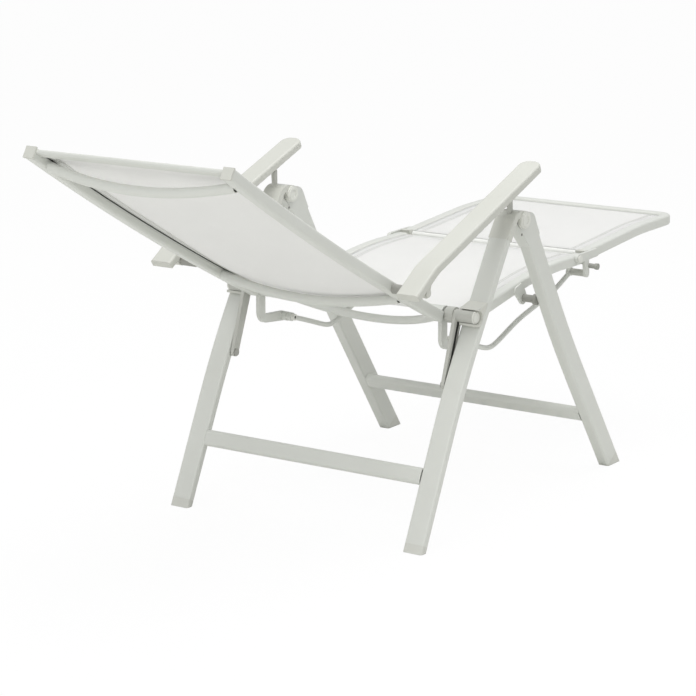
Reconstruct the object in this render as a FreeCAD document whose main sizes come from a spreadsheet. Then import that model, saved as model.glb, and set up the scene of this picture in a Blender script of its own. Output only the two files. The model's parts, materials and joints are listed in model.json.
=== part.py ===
"""Reclining garden armchair: folding tube frame, stretched slings, slotted armrests.

Lengths are millimetres.  X runs across the chair, Y to the rear and Z up; the origin is on the
floor under the middle of the chair.  The frame is symmetric, so left and right pieces come from
the same functions.
"""
import FreeCAD, Part
import math
import os

import Sketcher
from FreeCAD import Placement, Rotation, Vector

doc = FreeCAD.newDocument("GardenArmchair")
sheet = doc.addObject("Spreadsheet::Sheet", "Sizes")

# ---------------------------------------------------------------- driving sizes
SIZES = {
    # pivots of the side linkage, in the Y-Z plane
    "apex_y": -35.5,
    "apex_z": 568,
    "axle_y": 126.5,
    "axle_z": 407.5,
    "link_pin_y": 170,
    "link_pin_z": 283,
    "seat_pin_y": -144,
    "seat_pin_z": 392,
    "knee_y": -362,
    "knee_z": 434.2,
    "lever_pin_y": -396,
    "lever_pin_z": 399,
    "crank_pin_y": 56,
    "crank_pin_z": 340,
    "arm_pin_y": 314,
    "arm_pin_z": 487,
    # stations across the chair, measured from the middle
    "rail_outer": 222,
    "rail_wide": 22,
    "leg_room": 26,
    "rear_leg_wide": 42,
    "front_leg_wide": 24,
    "head_gap": 2,
    # rear legs: a lower and an upper run that meet in a gentle bend
    "rear_foot_y": 312.1,
    "rear_lean": 25.34,
    "rear_bend_z": 284.6,
    "rear_top_lean": 31.68,
    "rear_leg_bend": 1700,
    "rear_leg_deep": 16,
    "rear_head_long": 57,
    # front legs, bent the same way
    "front_foot_y": -431,
    "front_lean": -35.18,
    "front_bend_z": 304.8,
    "front_top_lean": -30.96,
    "front_leg_bend": 2200,
    "front_leg_deep": 42,
    "front_head_long": 68.5,
    "leg_wall": 1.6,
    "leg_corner": 4,
    "foot_cap_tall": 14,
    "front_cap_tall": 18,
    # cross tubes
    "rear_cross_at": 140,
    "front_cross_at": 160,
    "cross_tall": 32,
    "cross_deep": 18,
    "cross_corner": 8,
    # apex heads
    "cheek_thick": 6,
    "cheek_round": 20,
    "arch_y": -20,
    "arch_z": 556,
    "arch_round": 31,
    "front_boss_round": 17,
    "front_neck_round": 9,
    "apex_pin_round": 5,
    "apex_cap_round": 16.5,
    "apex_cap_thick": 2.6,
    "catch_y": -9,
    "catch_foot": 7,
    "catch_root_z": 573,
    "catch_tip_z": 618,
    "catch_gap": 0.2,
    "catch_wide": 8,
    "roof_wall": 2,
    "roof_down": 10,
    # rear axle and what sits on it
    "axle_round": 6,
    "hub_round": 15,
    "hub_wide": 15,
    "link_thick": 7,
    "link_gap": 2,
    "link_end_round": 8.5,
    "rivet_round": 4,
    "sleeve_round": 12,
    "saddle_wall": 3.2,
    "saddle_tall": 36,
    "saddle_gap": 0.5,
    # rails and bars
    "rail_corner": 5,
    "rail_wall": 1.5,
    "plug_thick": 4,
    "bar_round": 9,
    "bar_wall": 1.4,
    "seat_bar_round": 8,
    "upper_bow": 26,
    "lower_bow": 25,
    "seat_bow": 62,
    "seat_bow_lean": 38,
    "upper_bar_share": 0.939,
    "lower_bar_share": 0.172,
    "head_bar_deep": 20,
    "head_bar_tall": 8,
    "head_bar_corner": 3.5,
    "head_bar_down": 2.5,
    "front_bar_in": 16,
    "rear_bar_in": 14,
    # seat rail route
    "seat_front_y": -387,
    "seat_front_z": 429.5,
    "seat_knee_y": -225,
    "seat_knee_z": 430.3,
    "seat_knee_bend": 1000,
    "seat_dip_y": 45,
    "seat_dip_z": 380.3,
    "seat_dip_bend": 150,
    "seat_rear_y": 102,
    "seat_rear_z": 399.4,
    # back rail route
    "back_low_y": 145,
    "back_low_z": 406.1,
    "back_top_y": 789,
    "back_top_z": 755.6,
    "back_dish": 7000,
    # footrest rail route
    "foot_rear_y": -410,
    "foot_rear_z": 433.4,
    "foot_bend_y": -640,
    "foot_bend_z": 452.5,
    "foot_bend": 900,
    "foot_join_y": -700,
    "foot_join_z": 453.2,
    "foot_front_run": 87,
    "foot_corner": 26,
    # push rod route between crank and footrest lever
    "rod_at": 188,
    "rod_round": 5,
    "rod_low_y": -98,
    "rod_low_z": 291,
    "rod_kink_y": -150,
    "rod_kink_z": 317,
    "rod_bend": 36,
    "rod_pin_round": 3,
    "knee_pin_round": 4,
    "knee_clear_round": 34,
    "lever_thick": 6,
    "bracket_thick": 4,
    "arm_pin_round": 4.5,
    "arm_lug_wide": 38,
    "arm_lug_in": 2,
    "arm_corner": 20,
    # slings
    "sling_thick": 2.4,
    "sling_lift": 6,
    "sling_trim": 9,
    "back_sling_low": 0.03,
    "hub_trim": 26,
    "sling_side_gap": 0.4,
    "sling_rest": 0.3,
    "foot_trim": 6,
    "foot_plug_long": 18,
    # armrests
    "arm_over": 10,
    "arm_wide": 46,
    "arm_thick": 15,
    "arm_slope": 20.8,
    "arm_offset": 18.7,
    "arm_front_y": -96,
    "arm_edge": 5,
    "rack_thick": 7,
    # running clearances
    "pin_gap": 0.05,
    "side_gap": 0.4,
}

for row, (alias, value) in enumerate(SIZES.items(), start=1):
    cell = f"A{row}"
    sheet.set(cell, str(value))
    sheet.setAlias(cell, alias)
doc.recompute()


class Size:
    """A number that also carries the spreadsheet expression it comes from."""

    def __init__(self, value, text):
        self.value = float(value)
        self.text = text

    def __add__(self, other):
        return Size(self.value + number(other), f"({self.text} + {words(other)})")

    def __sub__(self, other):
        return Size(self.value - number(other), f"({self.text} - {words(other)})")

    def __mul__(self, other):
        return Size(self.value * number(other), f"({self.text} * {words(other)})")

    def __truediv__(self, other):
        return Size(self.value / number(other), f"({self.text} / {words(other)})")

    def __neg__(self):
        return Size(-self.value, f"(0 - {self.text})")

    def __radd__(self, other):
        return plain(other) + self

    def __rsub__(self, other):
        return plain(other) - self

    def __rmul__(self, other):
        return plain(other) * self


def number(size):
    """The value of a Size or of a plain number."""
    return size.value if isinstance(size, Size) else float(size)


def words(size):
    """The expression of a Size or of a plain number."""
    if isinstance(size, Size):
        return size.text
    return f"({size:.9g})" if size < 0 else f"{size:.9g}"


def plain(size):
    """A plain number as a Size."""
    return size if isinstance(size, Size) else Size(size, words(size))


def sine(angle):
    return Size(math.sin(math.radians(number(angle))), f"sin({words(angle)} * 1 deg)")


def cosine(angle):
    return Size(math.cos(math.radians(number(angle))), f"cos({words(angle)} * 1 deg)")


def arc_sine(share):
    """The angle in degrees whose sine this is."""
    return Size(math.degrees(math.asin(number(share))), f"(asin({words(share)}) / 1 deg)")


def root(size):
    return Size(math.sqrt(number(size)), f"sqrt({words(size)})")


def angle_of(across, along):
    """The angle in degrees of a vector with these two components."""
    value = math.degrees(math.atan2(number(across), number(along)))
    return Size(value, f"(atan2({words(across)}; {words(along)}) / 1 deg)")


class Sheet:
    """Gives each alias of the spreadsheet as a Size."""

    def __getattr__(self, alias):
        return Size(sheet.get(alias), f"Sizes.{alias}")


S = Sheet()
pieces = []


# ---------------------------------------------------------------- sketch helpers
def bind(sketch, kind, where, size):
    """Adds one dimension to a sketch and ties it to the spreadsheet."""
    index = sketch.addConstraint(Sketcher.Constraint(kind, *where, number(size)))
    if isinstance(size, Size):
        sketch.setExpression(f"Constraints[{index}]", size.text)


def bind_point(sketch, geometry, position, u, v):
    bind(sketch, "DistanceX", (-1, 1, geometry, position), u)
    bind(sketch, "DistanceY", (-1, 1, geometry, position), v)


def new_body(label):
    body = doc.addObject("PartDesign::Body", label)
    body.Label = label
    pieces.append(body)
    return body


def origin_plane(body, role):
    return next(feature for feature in body.Origin.OriginFeatures if feature.Role == role)


def side_sketch(body, name, station):
    """A sketch in the Y-Z plane, at a station across the chair."""
    sketch = body.newObject("Sketcher::SketchObject", name)
    sketch.AttachmentSupport = [(origin_plane(body, "YZ_Plane"), "")]
    sketch.MapMode = "FlatFace"
    sketch.AttachmentOffset = Placement(Vector(0, 0, number(station)), Rotation())
    if isinstance(station, Size):
        sketch.setExpression("AttachmentOffset.Base.z", station.text)
    return sketch


def draw_circle(sketch, u, v, radius):
    centre = Vector(number(u), number(v), 0)
    ring = sketch.addGeometry(Part.Circle(centre, Vector(0, 0, 1), number(radius)))
    bind_point(sketch, ring, 3, u, v)
    bind(sketch, "Radius", (ring,), radius)


def draw_belt(sketch, rounds):
    """Draws a closed outline, anticlockwise: straight runs that touch each round in turn.

    A round is (u, v, radius).  Radius 0 is a sharp corner, and a negative radius is a hollow
    corner, whose centre lies outside the outline.
    """
    centres = [Vector(number(u), number(v), 0) for u, v, _ in rounds]
    radii = [number(radius) for _, _, radius in rounds]
    count = len(rounds)
    starts, ends = [None] * count, [None] * count
    for i in range(count):
        j = (i + 1) % count
        along = centres[j] - centres[i]
        lean = (radii[i] - radii[j]) / along.Length
        along.normalize()
        normal = Vector(along.y, -along.x, 0) * math.sqrt(1 - lean * lean) + along * lean
        ends[i] = centres[i] + normal * radii[i]
        starts[j] = centres[j] + normal * radii[j]
    runs = [sketch.addGeometry(Part.LineSegment(ends[i], starts[(i + 1) % count])) for i in range(count)]
    for i, (u, v, radius) in enumerate(rounds):
        before, after = runs[i - 1], runs[i]
        if radii[i] == 0:
            sketch.addConstraint(Sketcher.Constraint("Coincident", before, 2, after, 1))
            bind_point(sketch, after, 1, u, v)
            continue
        first = math.atan2(starts[i].y - centres[i].y, starts[i].x - centres[i].x)
        last = math.atan2(ends[i].y - centres[i].y, ends[i].x - centres[i].x)
        inward = radii[i] < 0
        if inward:
            first, last = last, first
        circle = Part.Circle(centres[i], Vector(0, 0, 1), abs(radii[i]))
        bend = sketch.addGeometry(Part.ArcOfCircle(circle, first, last))
        entry, leave = (2, 1) if inward else (1, 2)
        sketch.addConstraint(Sketcher.Constraint("Tangent", before, 2, bend, entry))
        sketch.addConstraint(Sketcher.Constraint("Tangent", bend, leave, after, 1))
        bind_point(sketch, bend, 3, u, v)
        bind(sketch, "Radius", (bend,), -radius if inward else radius)


def draw_route(sketch, points, bends):
    """Draws an open route of straight runs, rounded at each corner point by its bend radius."""
    spots = [Vector(number(u), number(v), 0) for u, v in points]
    runs, arcs = [], []
    start = spots[0]
    for i, bend in enumerate(bends, start=1):
        coming = (spots[i] - spots[i - 1]).normalize()
        going = (spots[i + 1] - spots[i]).normalize()
        reach = number(bend) * math.tan(coming.getAngle(going) / 2)
        enter, leave = spots[i] - coming * reach, spots[i] + going * reach
        turn = 1 if coming.cross(going).z > 0 else -1
        centre = enter + Vector(-coming.y, coming.x, 0) * turn * number(bend)
        runs.append(sketch.addGeometry(Part.LineSegment(start, enter)))
        first = math.atan2(enter.y - centre.y, enter.x - centre.x)
        last = math.atan2(leave.y - centre.y, leave.x - centre.x)
        if turn < 0:
            first, last = last, first
        circle = Part.Circle(centre, Vector(0, 0, 1), number(bend))
        arcs.append((sketch.addGeometry(Part.ArcOfCircle(circle, first, last)), turn))
        start = leave
    runs.append(sketch.addGeometry(Part.LineSegment(start, spots[-1])))
    for i, (arc, turn) in enumerate(arcs):
        entry, leave = (1, 2) if turn > 0 else (2, 1)
        sketch.addConstraint(Sketcher.Constraint("Tangent", runs[i], 2, arc, entry))
        sketch.addConstraint(Sketcher.Constraint("Tangent", arc, leave, runs[i + 1], 1))
        bind(sketch, "Radius", (arc,), bends[i])
        corner = sketch.addGeometry(Part.Point(spots[i + 1]), True)
        sketch.addConstraint(Sketcher.Constraint("PointOnObject", corner, 1, runs[i]))
        sketch.addConstraint(Sketcher.Constraint("PointOnObject", corner, 1, runs[i + 1]))
        bind_point(sketch, corner, 1, *points[i + 1])
    bind_point(sketch, runs[0], 1, *points[0])
    bind_point(sketch, runs[-1], 2, *points[-1])


def draw_bow(sketch, first, last, radius):
    """Draws one arc between two points, bulging to the right of the line from first to last."""
    a = Vector(number(first[0]), number(first[1]), 0)
    b = Vector(number(last[0]), number(last[1]), 0)
    half = (b - a).Length / 2
    along = (b - a).normalize()
    centre = (a + b) / 2 + Vector(-along.y, along.x, 0) * math.sqrt(number(radius) ** 2 - half ** 2)
    start = math.atan2(a.y - centre.y, a.x - centre.x)
    end = math.atan2(b.y - centre.y, b.x - centre.x)
    circle = Part.Circle(centre, Vector(0, 0, 1), number(radius))
    arc = sketch.addGeometry(Part.ArcOfCircle(circle, start, end))
    bind_point(sketch, arc, 1, *first)
    bind_point(sketch, arc, 2, *last)
    bind(sketch, "Radius", (arc,), radius)


# ---------------------------------------------------------------- feature helpers
def pad(body, sketch, length):
    feature = body.newObject("PartDesign::Pad", f"{sketch.Name}_pad")
    feature.Profile = sketch
    feature.Length = number(length)
    if isinstance(length, Size):
        feature.setExpression("Length", length.text)
    sketch.Visibility = False
    return feature


def pocket(body, sketch, length):
    """Cuts a sketch forwards along its normal."""
    feature = body.newObject("PartDesign::Pocket", f"{sketch.Name}_pocket")
    feature.Profile = sketch
    feature.Length = number(length)
    if isinstance(length, Size):
        feature.setExpression("Length", length.text)
    feature.Reversed = True
    sketch.Visibility = False
    return feature


def across(side, inner, outer):
    """The station where a piece starts and its width, on the left (+1) or right (-1) side."""
    start = inner if side > 0 else -plain(outer)
    return start, plain(outer) - inner


def plate(body, name, side, inner, outer, rounds, holes=()):
    """Adds a plate that lies in the Y-Z plane between two stations, with round holes."""
    start, wide = across(side, inner, outer)
    sketch = side_sketch(body, name, start)
    draw_belt(sketch, rounds)
    for hole in holes:
        draw_circle(sketch, *hole)
    return pad(body, sketch, wide)


def disc(body, name, side, inner, outer, y, z, radius, bore=None):
    """Adds a round boss or ring about an axis across the chair."""
    start, wide = across(side, inner, outer)
    sketch = side_sketch(body, name, start)
    draw_circle(sketch, y, z, radius)
    if bore is not None:
        draw_circle(sketch, y, z, bore)
    return pad(body, sketch, wide)


def cut_plate(body, name, side, inner, outer, rounds):
    start, wide = across(side, inner, outer)
    sketch = side_sketch(body, name, start)
    draw_belt(sketch, rounds)
    return pocket(body, sketch, wide)


def soften(body, radius, chosen):
    """Rounds the edges of the body's last feature that the test picks."""
    doc.recompute()
    base = body.Tip
    names = [f"Edge{i}" for i, edge in enumerate(base.Shape.Edges, start=1) if chosen(edge)]
    feature = body.newObject("PartDesign::Fillet", f"{body.Name}_soft")
    feature.Base = (base, names)
    feature.Radius = number(radius)
    if isinstance(radius, Size):
        feature.setExpression("Radius", radius.text)
    return feature


def rounded_box(half_wide, half_deep, corner):
    """The belt of a rounded rectangle about the sketch's origin."""
    u, v = half_wide - corner, half_deep - corner
    return [(u, -v, corner), (u, v, corner), (-u, v, corner), (-u, -v, corner)]


def leaning_point(foot_y, lean, up, behind=0):
    """The (y, z) of a point `up` along a leaning leg and `behind` its middle line."""
    return (foot_y - up * sine(lean) + behind * cosine(lean),
            up * cosine(lean) + behind * sine(lean))


def probe_way(path, way):
    """The direction in space of an axis of a section attached to the start of this path."""
    probe = doc.addObject("Sketcher::SketchObject", "Probe")
    probe.AttachmentSupport = [(path, "Edge1")]
    probe.MapMode = "NormalToEdge"
    probe.MapPathParameter = 0
    doc.recompute()
    turned = probe.Placement.Rotation.multVec(way)
    doc.removeObject(probe.Name)
    return turned


def pipe(body, path, radius_pair=None, box_pair=None):
    """Sweeps a round or rounded-box section along a path, then its bore if it has one."""
    edges = [f"Edge{i + 1}" for i in range(len(path.Shape.Edges))]
    kinds = ("PartDesign::AdditivePipe", "PartDesign::SubtractivePipe")
    for i, section in enumerate(radius_pair or box_pair):
        if section is None:
            continue
        sketch = body.newObject("Sketcher::SketchObject", f"{body.Name}_section{i}")
        sketch.AttachmentSupport = [(path, "Edge1")]
        sketch.MapMode = "NormalToEdge"
        sketch.MapPathParameter = 0
        if radius_pair:
            draw_circle(sketch, 0, 0, section)
        else:
            draw_belt(sketch, rounded_box(*section))
        sweep = body.newObject(kinds[i], f"{body.Name}_sweep{i}")
        sweep.Profile = sketch
        sweep.Spine = (path, edges)
        sketch.Visibility = False
    path.Visibility = False


def rail(body, side, draw):
    """A hollow rounded-box side rail along a route in the Y-Z plane."""
    path = side_sketch(body, f"{body.Name}_path", (S.rail_outer - S.rail_wide / 2) * side)
    draw(path)
    doc.recompute()
    half = S.rail_wide / 2
    inner = half - S.rail_wall
    pipe(body, path, box_pair=((half, half, S.rail_corner), (inner, inner, S.rail_corner - S.rail_wall)))


def bowed_bar(body, half_span, y, z, tilt, bow, radius, wall):
    """A round bar across the chair that bows by `bow` in a plane tilted about X."""
    path = body.newObject("Sketcher::SketchObject", f"{body.Name}_path")
    path.AttachmentSupport = [(origin_plane(body, "XY_Plane"), "")]
    path.MapMode = "FlatFace"
    path.AttachmentOffset = Placement(Vector(0, number(y), number(z)), Rotation(Vector(1, 0, 0), number(tilt)))
    path.setExpression("AttachmentOffset.Base.y", plain(y).text)
    path.setExpression("AttachmentOffset.Base.z", plain(z).text)
    path.setExpression("AttachmentOffset.Rotation.Angle", plain(tilt).text)
    bowed = number(bow) != 0
    if bowed:
        bend = (half_span * half_span + bow * bow) / (bow * 2)
        reach = half_span + radius / 2
        rise = bend - bow - root(bend * bend - reach * reach)
        draw_bow(path, (-reach, rise), (reach, rise), bend)
    else:
        end = Vector(number(half_span), 0, 0)
        run = path.addGeometry(Part.LineSegment(-end, end))
        bind_point(path, run, 1, -half_span, 0)
        bind_point(path, run, 2, half_span, 0)
    doc.recompute()
    pipe(body, path, radius_pair=(radius, radius - wall))
    if bowed:
        square_ends(body, half_span, y, z, radius)


def square_ends(body, half_span, y, z, radius):
    """Cuts both ends of a bowed bar flat where it meets the rails."""
    size = radius * 3
    for side in SIDES.values():
        start, wide = across(side, half_span, half_span + radius * 2)
        sketch = side_sketch(body, f"{body.Name}_end", start)
        draw_belt(sketch, [(y - size, z - size, 0), (y + size, z - size, 0),
                           (y + size, z + size, 0), (y - size, z + size, 0)])
        pocket(body, sketch, wide)


SIDES = {"left": 1, "right": -1}


def bar_drop(radius):
    """How far a straight bar under a sling lies below the middle line of its rails."""
    return radius + S.sling_rest - S.sling_lift


# ---------------------------------------------------------------- shared places
rear_leg_inner = S.rail_outer + S.leg_room
rear_leg_middle = rear_leg_inner + S.rear_leg_wide / 2
leg_outer = rear_leg_inner + S.rear_leg_wide
front_leg_outer = leg_outer - S.cheek_thick - S.head_gap
front_leg_inner = front_leg_outer - S.front_leg_wide
front_leg_middle = front_leg_outer - S.front_leg_wide / 2
rail_inner = S.rail_outer - S.rail_wide
hub_face = rail_inner - S.hub_wide
link_outer = rear_leg_inner - S.link_gap
link_inner = link_outer - S.link_thick
arm_outer = leg_outer + S.arm_over
arm_inner = arm_outer - S.arm_wide
catch_middle = front_leg_middle + S.head_gap
catch_inner = catch_middle - S.catch_wide / 2
catch_outer = catch_middle + S.catch_wide / 2
apex = (S.apex_y, S.apex_z)
axle = (S.axle_y, S.axle_z)


# ---------------------------------------------------------------- legs
def slope_of(lean):
    """How far a leaning line comes forward for each millimetre that it rises."""
    return sine(lean) / cosine(lean)


def upper_line(foot_y, lean, bend_z, top_lean):
    """Where the line of a leg's upper run would meet the floor."""
    return foot_y - bend_z * slope_of(lean) + bend_z * slope_of(top_lean)


def place_along(line_y, lean, y, z):
    """How far up a leaning line a point lies."""
    return (line_y - y) * sine(lean) + z * cosine(lean)


rear_line_y = upper_line(S.rear_foot_y, S.rear_lean, S.rear_bend_z, S.rear_top_lean)
front_line_y = upper_line(S.front_foot_y, S.front_lean, S.front_bend_z, S.front_top_lean)
rear_leg_top = place_along(rear_line_y, S.rear_top_lean, *apex) - S.rear_head_long
front_leg_top = place_along(front_line_y, S.front_top_lean, *apex) - S.front_head_long
axle_up = place_along(rear_line_y, S.rear_top_lean, *axle)


def on_rear_leg(up, behind=0):
    """A point on the upper run of a rear leg."""
    return leaning_point(rear_line_y, S.rear_top_lean, up, behind)


def on_front_leg(up, behind=0):
    """A point on the upper run of a front leg."""
    return leaning_point(front_line_y, S.front_top_lean, up, behind)


def rear_leg(body, side):
    """A rear leg, wide across the chair, from its foot cap to the forked head."""
    low = leaning_point(S.rear_foot_y, S.rear_lean, S.foot_cap_tall)
    corner = (S.rear_foot_y - S.rear_bend_z * slope_of(S.rear_lean), S.rear_bend_z)
    leg(body, side, rear_leg_middle, low, corner, on_rear_leg(rear_leg_top),
        S.rear_leg_bend, S.rear_leg_deep, S.rear_leg_wide)


def front_leg(body, side):
    """A front leg, deep from front to rear, from its foot cap to the head between the cheeks."""
    low = leaning_point(S.front_foot_y, S.front_lean, S.front_cap_tall)
    corner = (S.front_foot_y - S.front_bend_z * slope_of(S.front_lean), S.front_bend_z)
    leg(body, side, front_leg_middle, low, corner, on_front_leg(front_leg_top),
        S.front_leg_bend, S.front_leg_deep, S.front_leg_wide)


def leg(body, side, middle, low, corner, high, bend, deep, wide):
    """A rounded flat tube with one gentle bend in the Y-Z plane."""
    path = side_sketch(body, f"{body.Name}_path", middle * side)
    draw_route(path, [low, corner, high], [bend])
    doc.recompute()
    halves = flat_halves(path, wide / 2, deep / 2)
    bore = [half - S.leg_wall for half in halves]
    pipe(body, path, box_pair=((*halves, S.leg_corner), (*bore, S.leg_corner - S.leg_wall)))


def flat_halves(path, half_wide, half_deep):
    """The half sizes along X and Y of a section attached to this path, for a tube that is wide across."""
    across_x = probe_way(path, Vector(1, 0, 0)).x
    return (half_wide, half_deep) if abs(across_x) > math.cos(math.radians(45)) else (half_deep, half_wide)


def foot_caps(body, inner, outer, foot_y, lean, deep, tall):
    """The plastic feet of one pair of legs, cut level where they stand on the floor."""
    reach = deep / 2 / cosine(lean)
    top_front = leaning_point(foot_y, lean, tall, -deep / 2)
    top_rear = leaning_point(foot_y, lean, tall, deep / 2)
    for side in SIDES.values():
        plate(body, f"{body.Name}_side", side, inner, outer,
              [(foot_y - reach, 0, 0), (foot_y + reach, 0, 0), (*top_rear, 0), (*top_front, 0)])
    soften(body, S.leg_corner, lambda edge: upright(edge, number(lean)))


def upright(edge, lean):
    """True for a straight edge that runs along a leg leaning by this angle."""
    if edge.Curve.TypeId != "Part::GeomLine" or edge.BoundBox.ZLength < 1:
        return False
    way = edge.Curve.Direction
    leg = Vector(0, -math.sin(math.radians(lean)), math.cos(math.radians(lean)))
    return abs(way.dot(leg)) > 0.999


def cross_tube(body, foot_y, lean, up, behind, half_span):
    """A flat oval tube between the two legs of one pair."""
    flat_bar(body, leaning_point(foot_y, lean, up, behind), lean, S.cross_deep / 2, S.cross_tall / 2,
             S.cross_corner, S.leg_wall, half_span)


def flat_bar(body, middle, lean, half_deep, half_tall, corner, wall, half_span):
    """A hollow bar of flat rounded section across the chair, its tall way leaning forward."""
    y, z = middle
    sketch = side_sketch(body, f"{body.Name}_section", -half_span)
    for inset in (0, wall):
        inner_corner = corner - inset
        u, v = half_deep - corner, half_tall - corner
        rounds = []
        for across_sign, along_sign in ((1, -1), (1, 1), (-1, 1), (-1, -1)):
            dy = u * across_sign * cosine(lean) - v * along_sign * sine(lean)
            dz = u * across_sign * sine(lean) + v * along_sign * cosine(lean)
            rounds.append((y + dy, z + dz, inner_corner))
        draw_belt(sketch, rounds)
    pad(body, sketch, half_span * 2)


# ---------------------------------------------------------------- apex
def rear_head(body, side):
    """The forked plastic head on a rear leg: two cheeks and the arch that joins them."""
    front_low = on_rear_leg(rear_leg_top, -S.rear_leg_deep / 2)
    rear_low = on_rear_leg(rear_leg_top, S.rear_leg_deep / 2)
    plate(body, f"{body.Name}_outline", side, rear_leg_inner, leg_outer,
          [(*apex, S.cheek_round), (*front_low, 0), (*rear_low, 0), (S.arch_y, S.arch_z, S.arch_round)],
          [(*apex, S.apex_pin_round)])
    slot_front = S.apex_y - S.cheek_round * 4
    slot_top = S.apex_z + S.cheek_round * 2
    roof_y, roof_z = S.catch_y - S.catch_foot / 2 - S.roof_wall, S.apex_z - S.roof_down
    low = on_rear_leg(rear_leg_top - S.cheek_round * 3, -S.rear_leg_deep / 2)
    fall = (low[1] - roof_z) * slope_of(S.rear_top_lean)
    cut_plate(body, f"{body.Name}_slot", side, rear_leg_inner + S.cheek_thick, leg_outer - S.cheek_thick,
              [(slot_front, low[1], 0), (*low, 0), (low[0] + fall, roof_z, 0), (roof_y, roof_z, 0),
               (roof_y, slot_top, 0), (slot_front, slot_top, 0)])
    cut_plate(body, f"{body.Name}_seat", side, catch_inner - S.catch_gap, catch_outer + S.catch_gap,
              catch_outline(S.catch_root_z, S.catch_gap))


def front_head(body, side):
    """The moulded end of a front leg that turns between the cheeks."""
    rear_low = on_front_leg(front_leg_top, S.front_leg_deep / 2)
    front_low = on_front_leg(front_leg_top, -S.front_leg_deep / 2)
    plate(body, f"{body.Name}_outline", side, front_leg_inner, front_leg_outer,
          [(*front_low, 0), (*rear_low, 0), (S.apex_y - 2, S.apex_z - 14, S.front_neck_round),
           (*apex, S.front_boss_round)],
          [(*apex, S.apex_pin_round + S.pin_gap)])


def apex_pin(body, side):
    """The pivot pin through both cheeks, with a round cap on each end."""
    disc(body, f"{body.Name}_shank", side, rear_leg_inner, leg_outer, *apex, S.apex_pin_round)
    thick, wide = S.apex_cap_thick, S.apex_cap_round
    for where, foot, rim in (("inner", rear_leg_inner - thick, rear_leg_inner - thick * 1.5),
                             ("outer", leg_outer, leg_outer + thick)):
        disc(body, f"{body.Name}_{where}_cap", side, foot, foot + thick, *apex, wide)
        disc(body, f"{body.Name}_{where}_rim", side, rim, rim + thick / 2, *apex, wide * 0.8, wide * 0.5)


def catch_outline(foot_z, gap=0):
    """The side view of the catch, from a foot level upwards, grown by a gap all round."""
    front, rear = S.catch_y - S.catch_foot / 2 - gap, S.catch_y + S.catch_foot / 2 + gap
    return [(front, foot_z - gap, 0), (rear, foot_z - gap, 0),
            (rear, S.catch_tip_z - 5, 3), (rear - S.catch_foot / 2, S.catch_tip_z - 3, 3)]


def armrest_catch(body, side):
    """The tooth that stands in a slot of the rear head and carries the armrest's rack."""
    plate(body, f"{body.Name}_side", side, catch_inner, catch_outer, catch_outline(S.catch_root_z))


# ---------------------------------------------------------------- link arms and rear axle
def link_arm(body, side):
    plate(body, f"{body.Name}_outline", side, link_inner, link_outer,
          [(*axle, S.sleeve_round), (S.link_pin_y, S.link_pin_z, S.link_end_round)],
          [(*axle, S.axle_round), (S.link_pin_y, S.link_pin_z, S.rivet_round + S.pin_gap)])


def link_rivet(body, side):
    """The rivet that the link arm turns on, with the washer that holds it off the leg."""
    pin = (S.link_pin_y, S.link_pin_z)
    face = link_inner - S.side_gap
    disc(body, f"{body.Name}_shank", side, face, rear_leg_inner, *pin, S.rivet_round)
    disc(body, f"{body.Name}_head", side, face - S.rivet_round / 2, face, *pin, S.rivet_round * 1.8)
    disc(body, f"{body.Name}_washer", side, link_outer + S.side_gap, rear_leg_inner, *pin, S.rivet_round * 2)


def rear_axle(body, side):
    disc(body, f"{body.Name}_shank", side, hub_face + 1, leg_outer - 7, *axle, S.axle_round)


def axle_spacers(body, side):
    """The washer and the broad spacer between the backrest hub and the link arm."""
    disc(body, f"{body.Name}_washer", side, S.rail_outer - 3, S.rail_outer + 1.2, *axle, 13, S.axle_round)
    disc(body, f"{body.Name}_barrel", side, S.rail_outer + 1.2, link_inner, *axle, S.hub_round, S.axle_round)


def axle_sleeve(body, side):
    """The roller that rests in the saddle, with its white end disc."""
    disc(body, f"{body.Name}_roller", side, link_outer, leg_outer - 10, *axle, S.sleeve_round, S.axle_round)


def axle_cap(body, side):
    disc(body, f"{body.Name}_rim", side, leg_outer - 10, leg_outer - 7, *axle, S.sleeve_round, S.axle_round)
    disc(body, f"{body.Name}_face", side, leg_outer - 7, leg_outer - 5.5, *axle, S.sleeve_round - 2)


def saddle(body, side):
    """The open plastic cradle on the rear leg that the axle sleeve drops into."""
    behind = S.rear_leg_deep / 2
    top = on_rear_leg(axle_up + S.saddle_tall, behind)
    low = on_rear_leg(axle_up - S.saddle_tall / 3, behind)
    seat_round = S.sleeve_round + S.saddle_gap
    lip = seat_round + S.saddle_wall / 2
    plate(body, f"{body.Name}_outline", side, rear_leg_inner + 1, leg_outer - 1,
          [(*top, 0), (*low, 0), (S.axle_y + 3, S.axle_z - lip - 1, 2.2), (S.axle_y + 1, S.axle_z + lip, 1.6)])
    cut_plate(body, f"{body.Name}_seat", side, rear_leg_inner + 1, leg_outer - 1,
              [(*axle, seat_round), (S.axle_y + 28, S.axle_z + 7, seat_round + 2)])


# ---------------------------------------------------------------- seat
seat_rear_slope = (S.seat_rear_z - S.seat_dip_z) / (S.seat_rear_y - S.seat_dip_y)
seat_front_slope = angle_of(S.seat_knee_z - S.seat_front_z, S.seat_knee_y - S.seat_front_y)


def seat_route(path, front_trim=0, rear_trim=0):
    """The wave of the seat rails, which may be cut a little short at each end."""
    draw_route(path, [(S.seat_front_y + front_trim, S.seat_front_z), (S.seat_knee_y, S.seat_knee_z),
                      (S.seat_dip_y, S.seat_dip_z),
                      (S.seat_rear_y - rear_trim, S.seat_rear_z - rear_trim * seat_rear_slope)],
               [S.seat_knee_bend, S.seat_dip_bend])


def seat_rear_point(back):
    """A point on the middle line of the seat rails, this far from their rear end."""
    return S.seat_rear_y - back, S.seat_rear_z - back * seat_rear_slope


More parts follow.
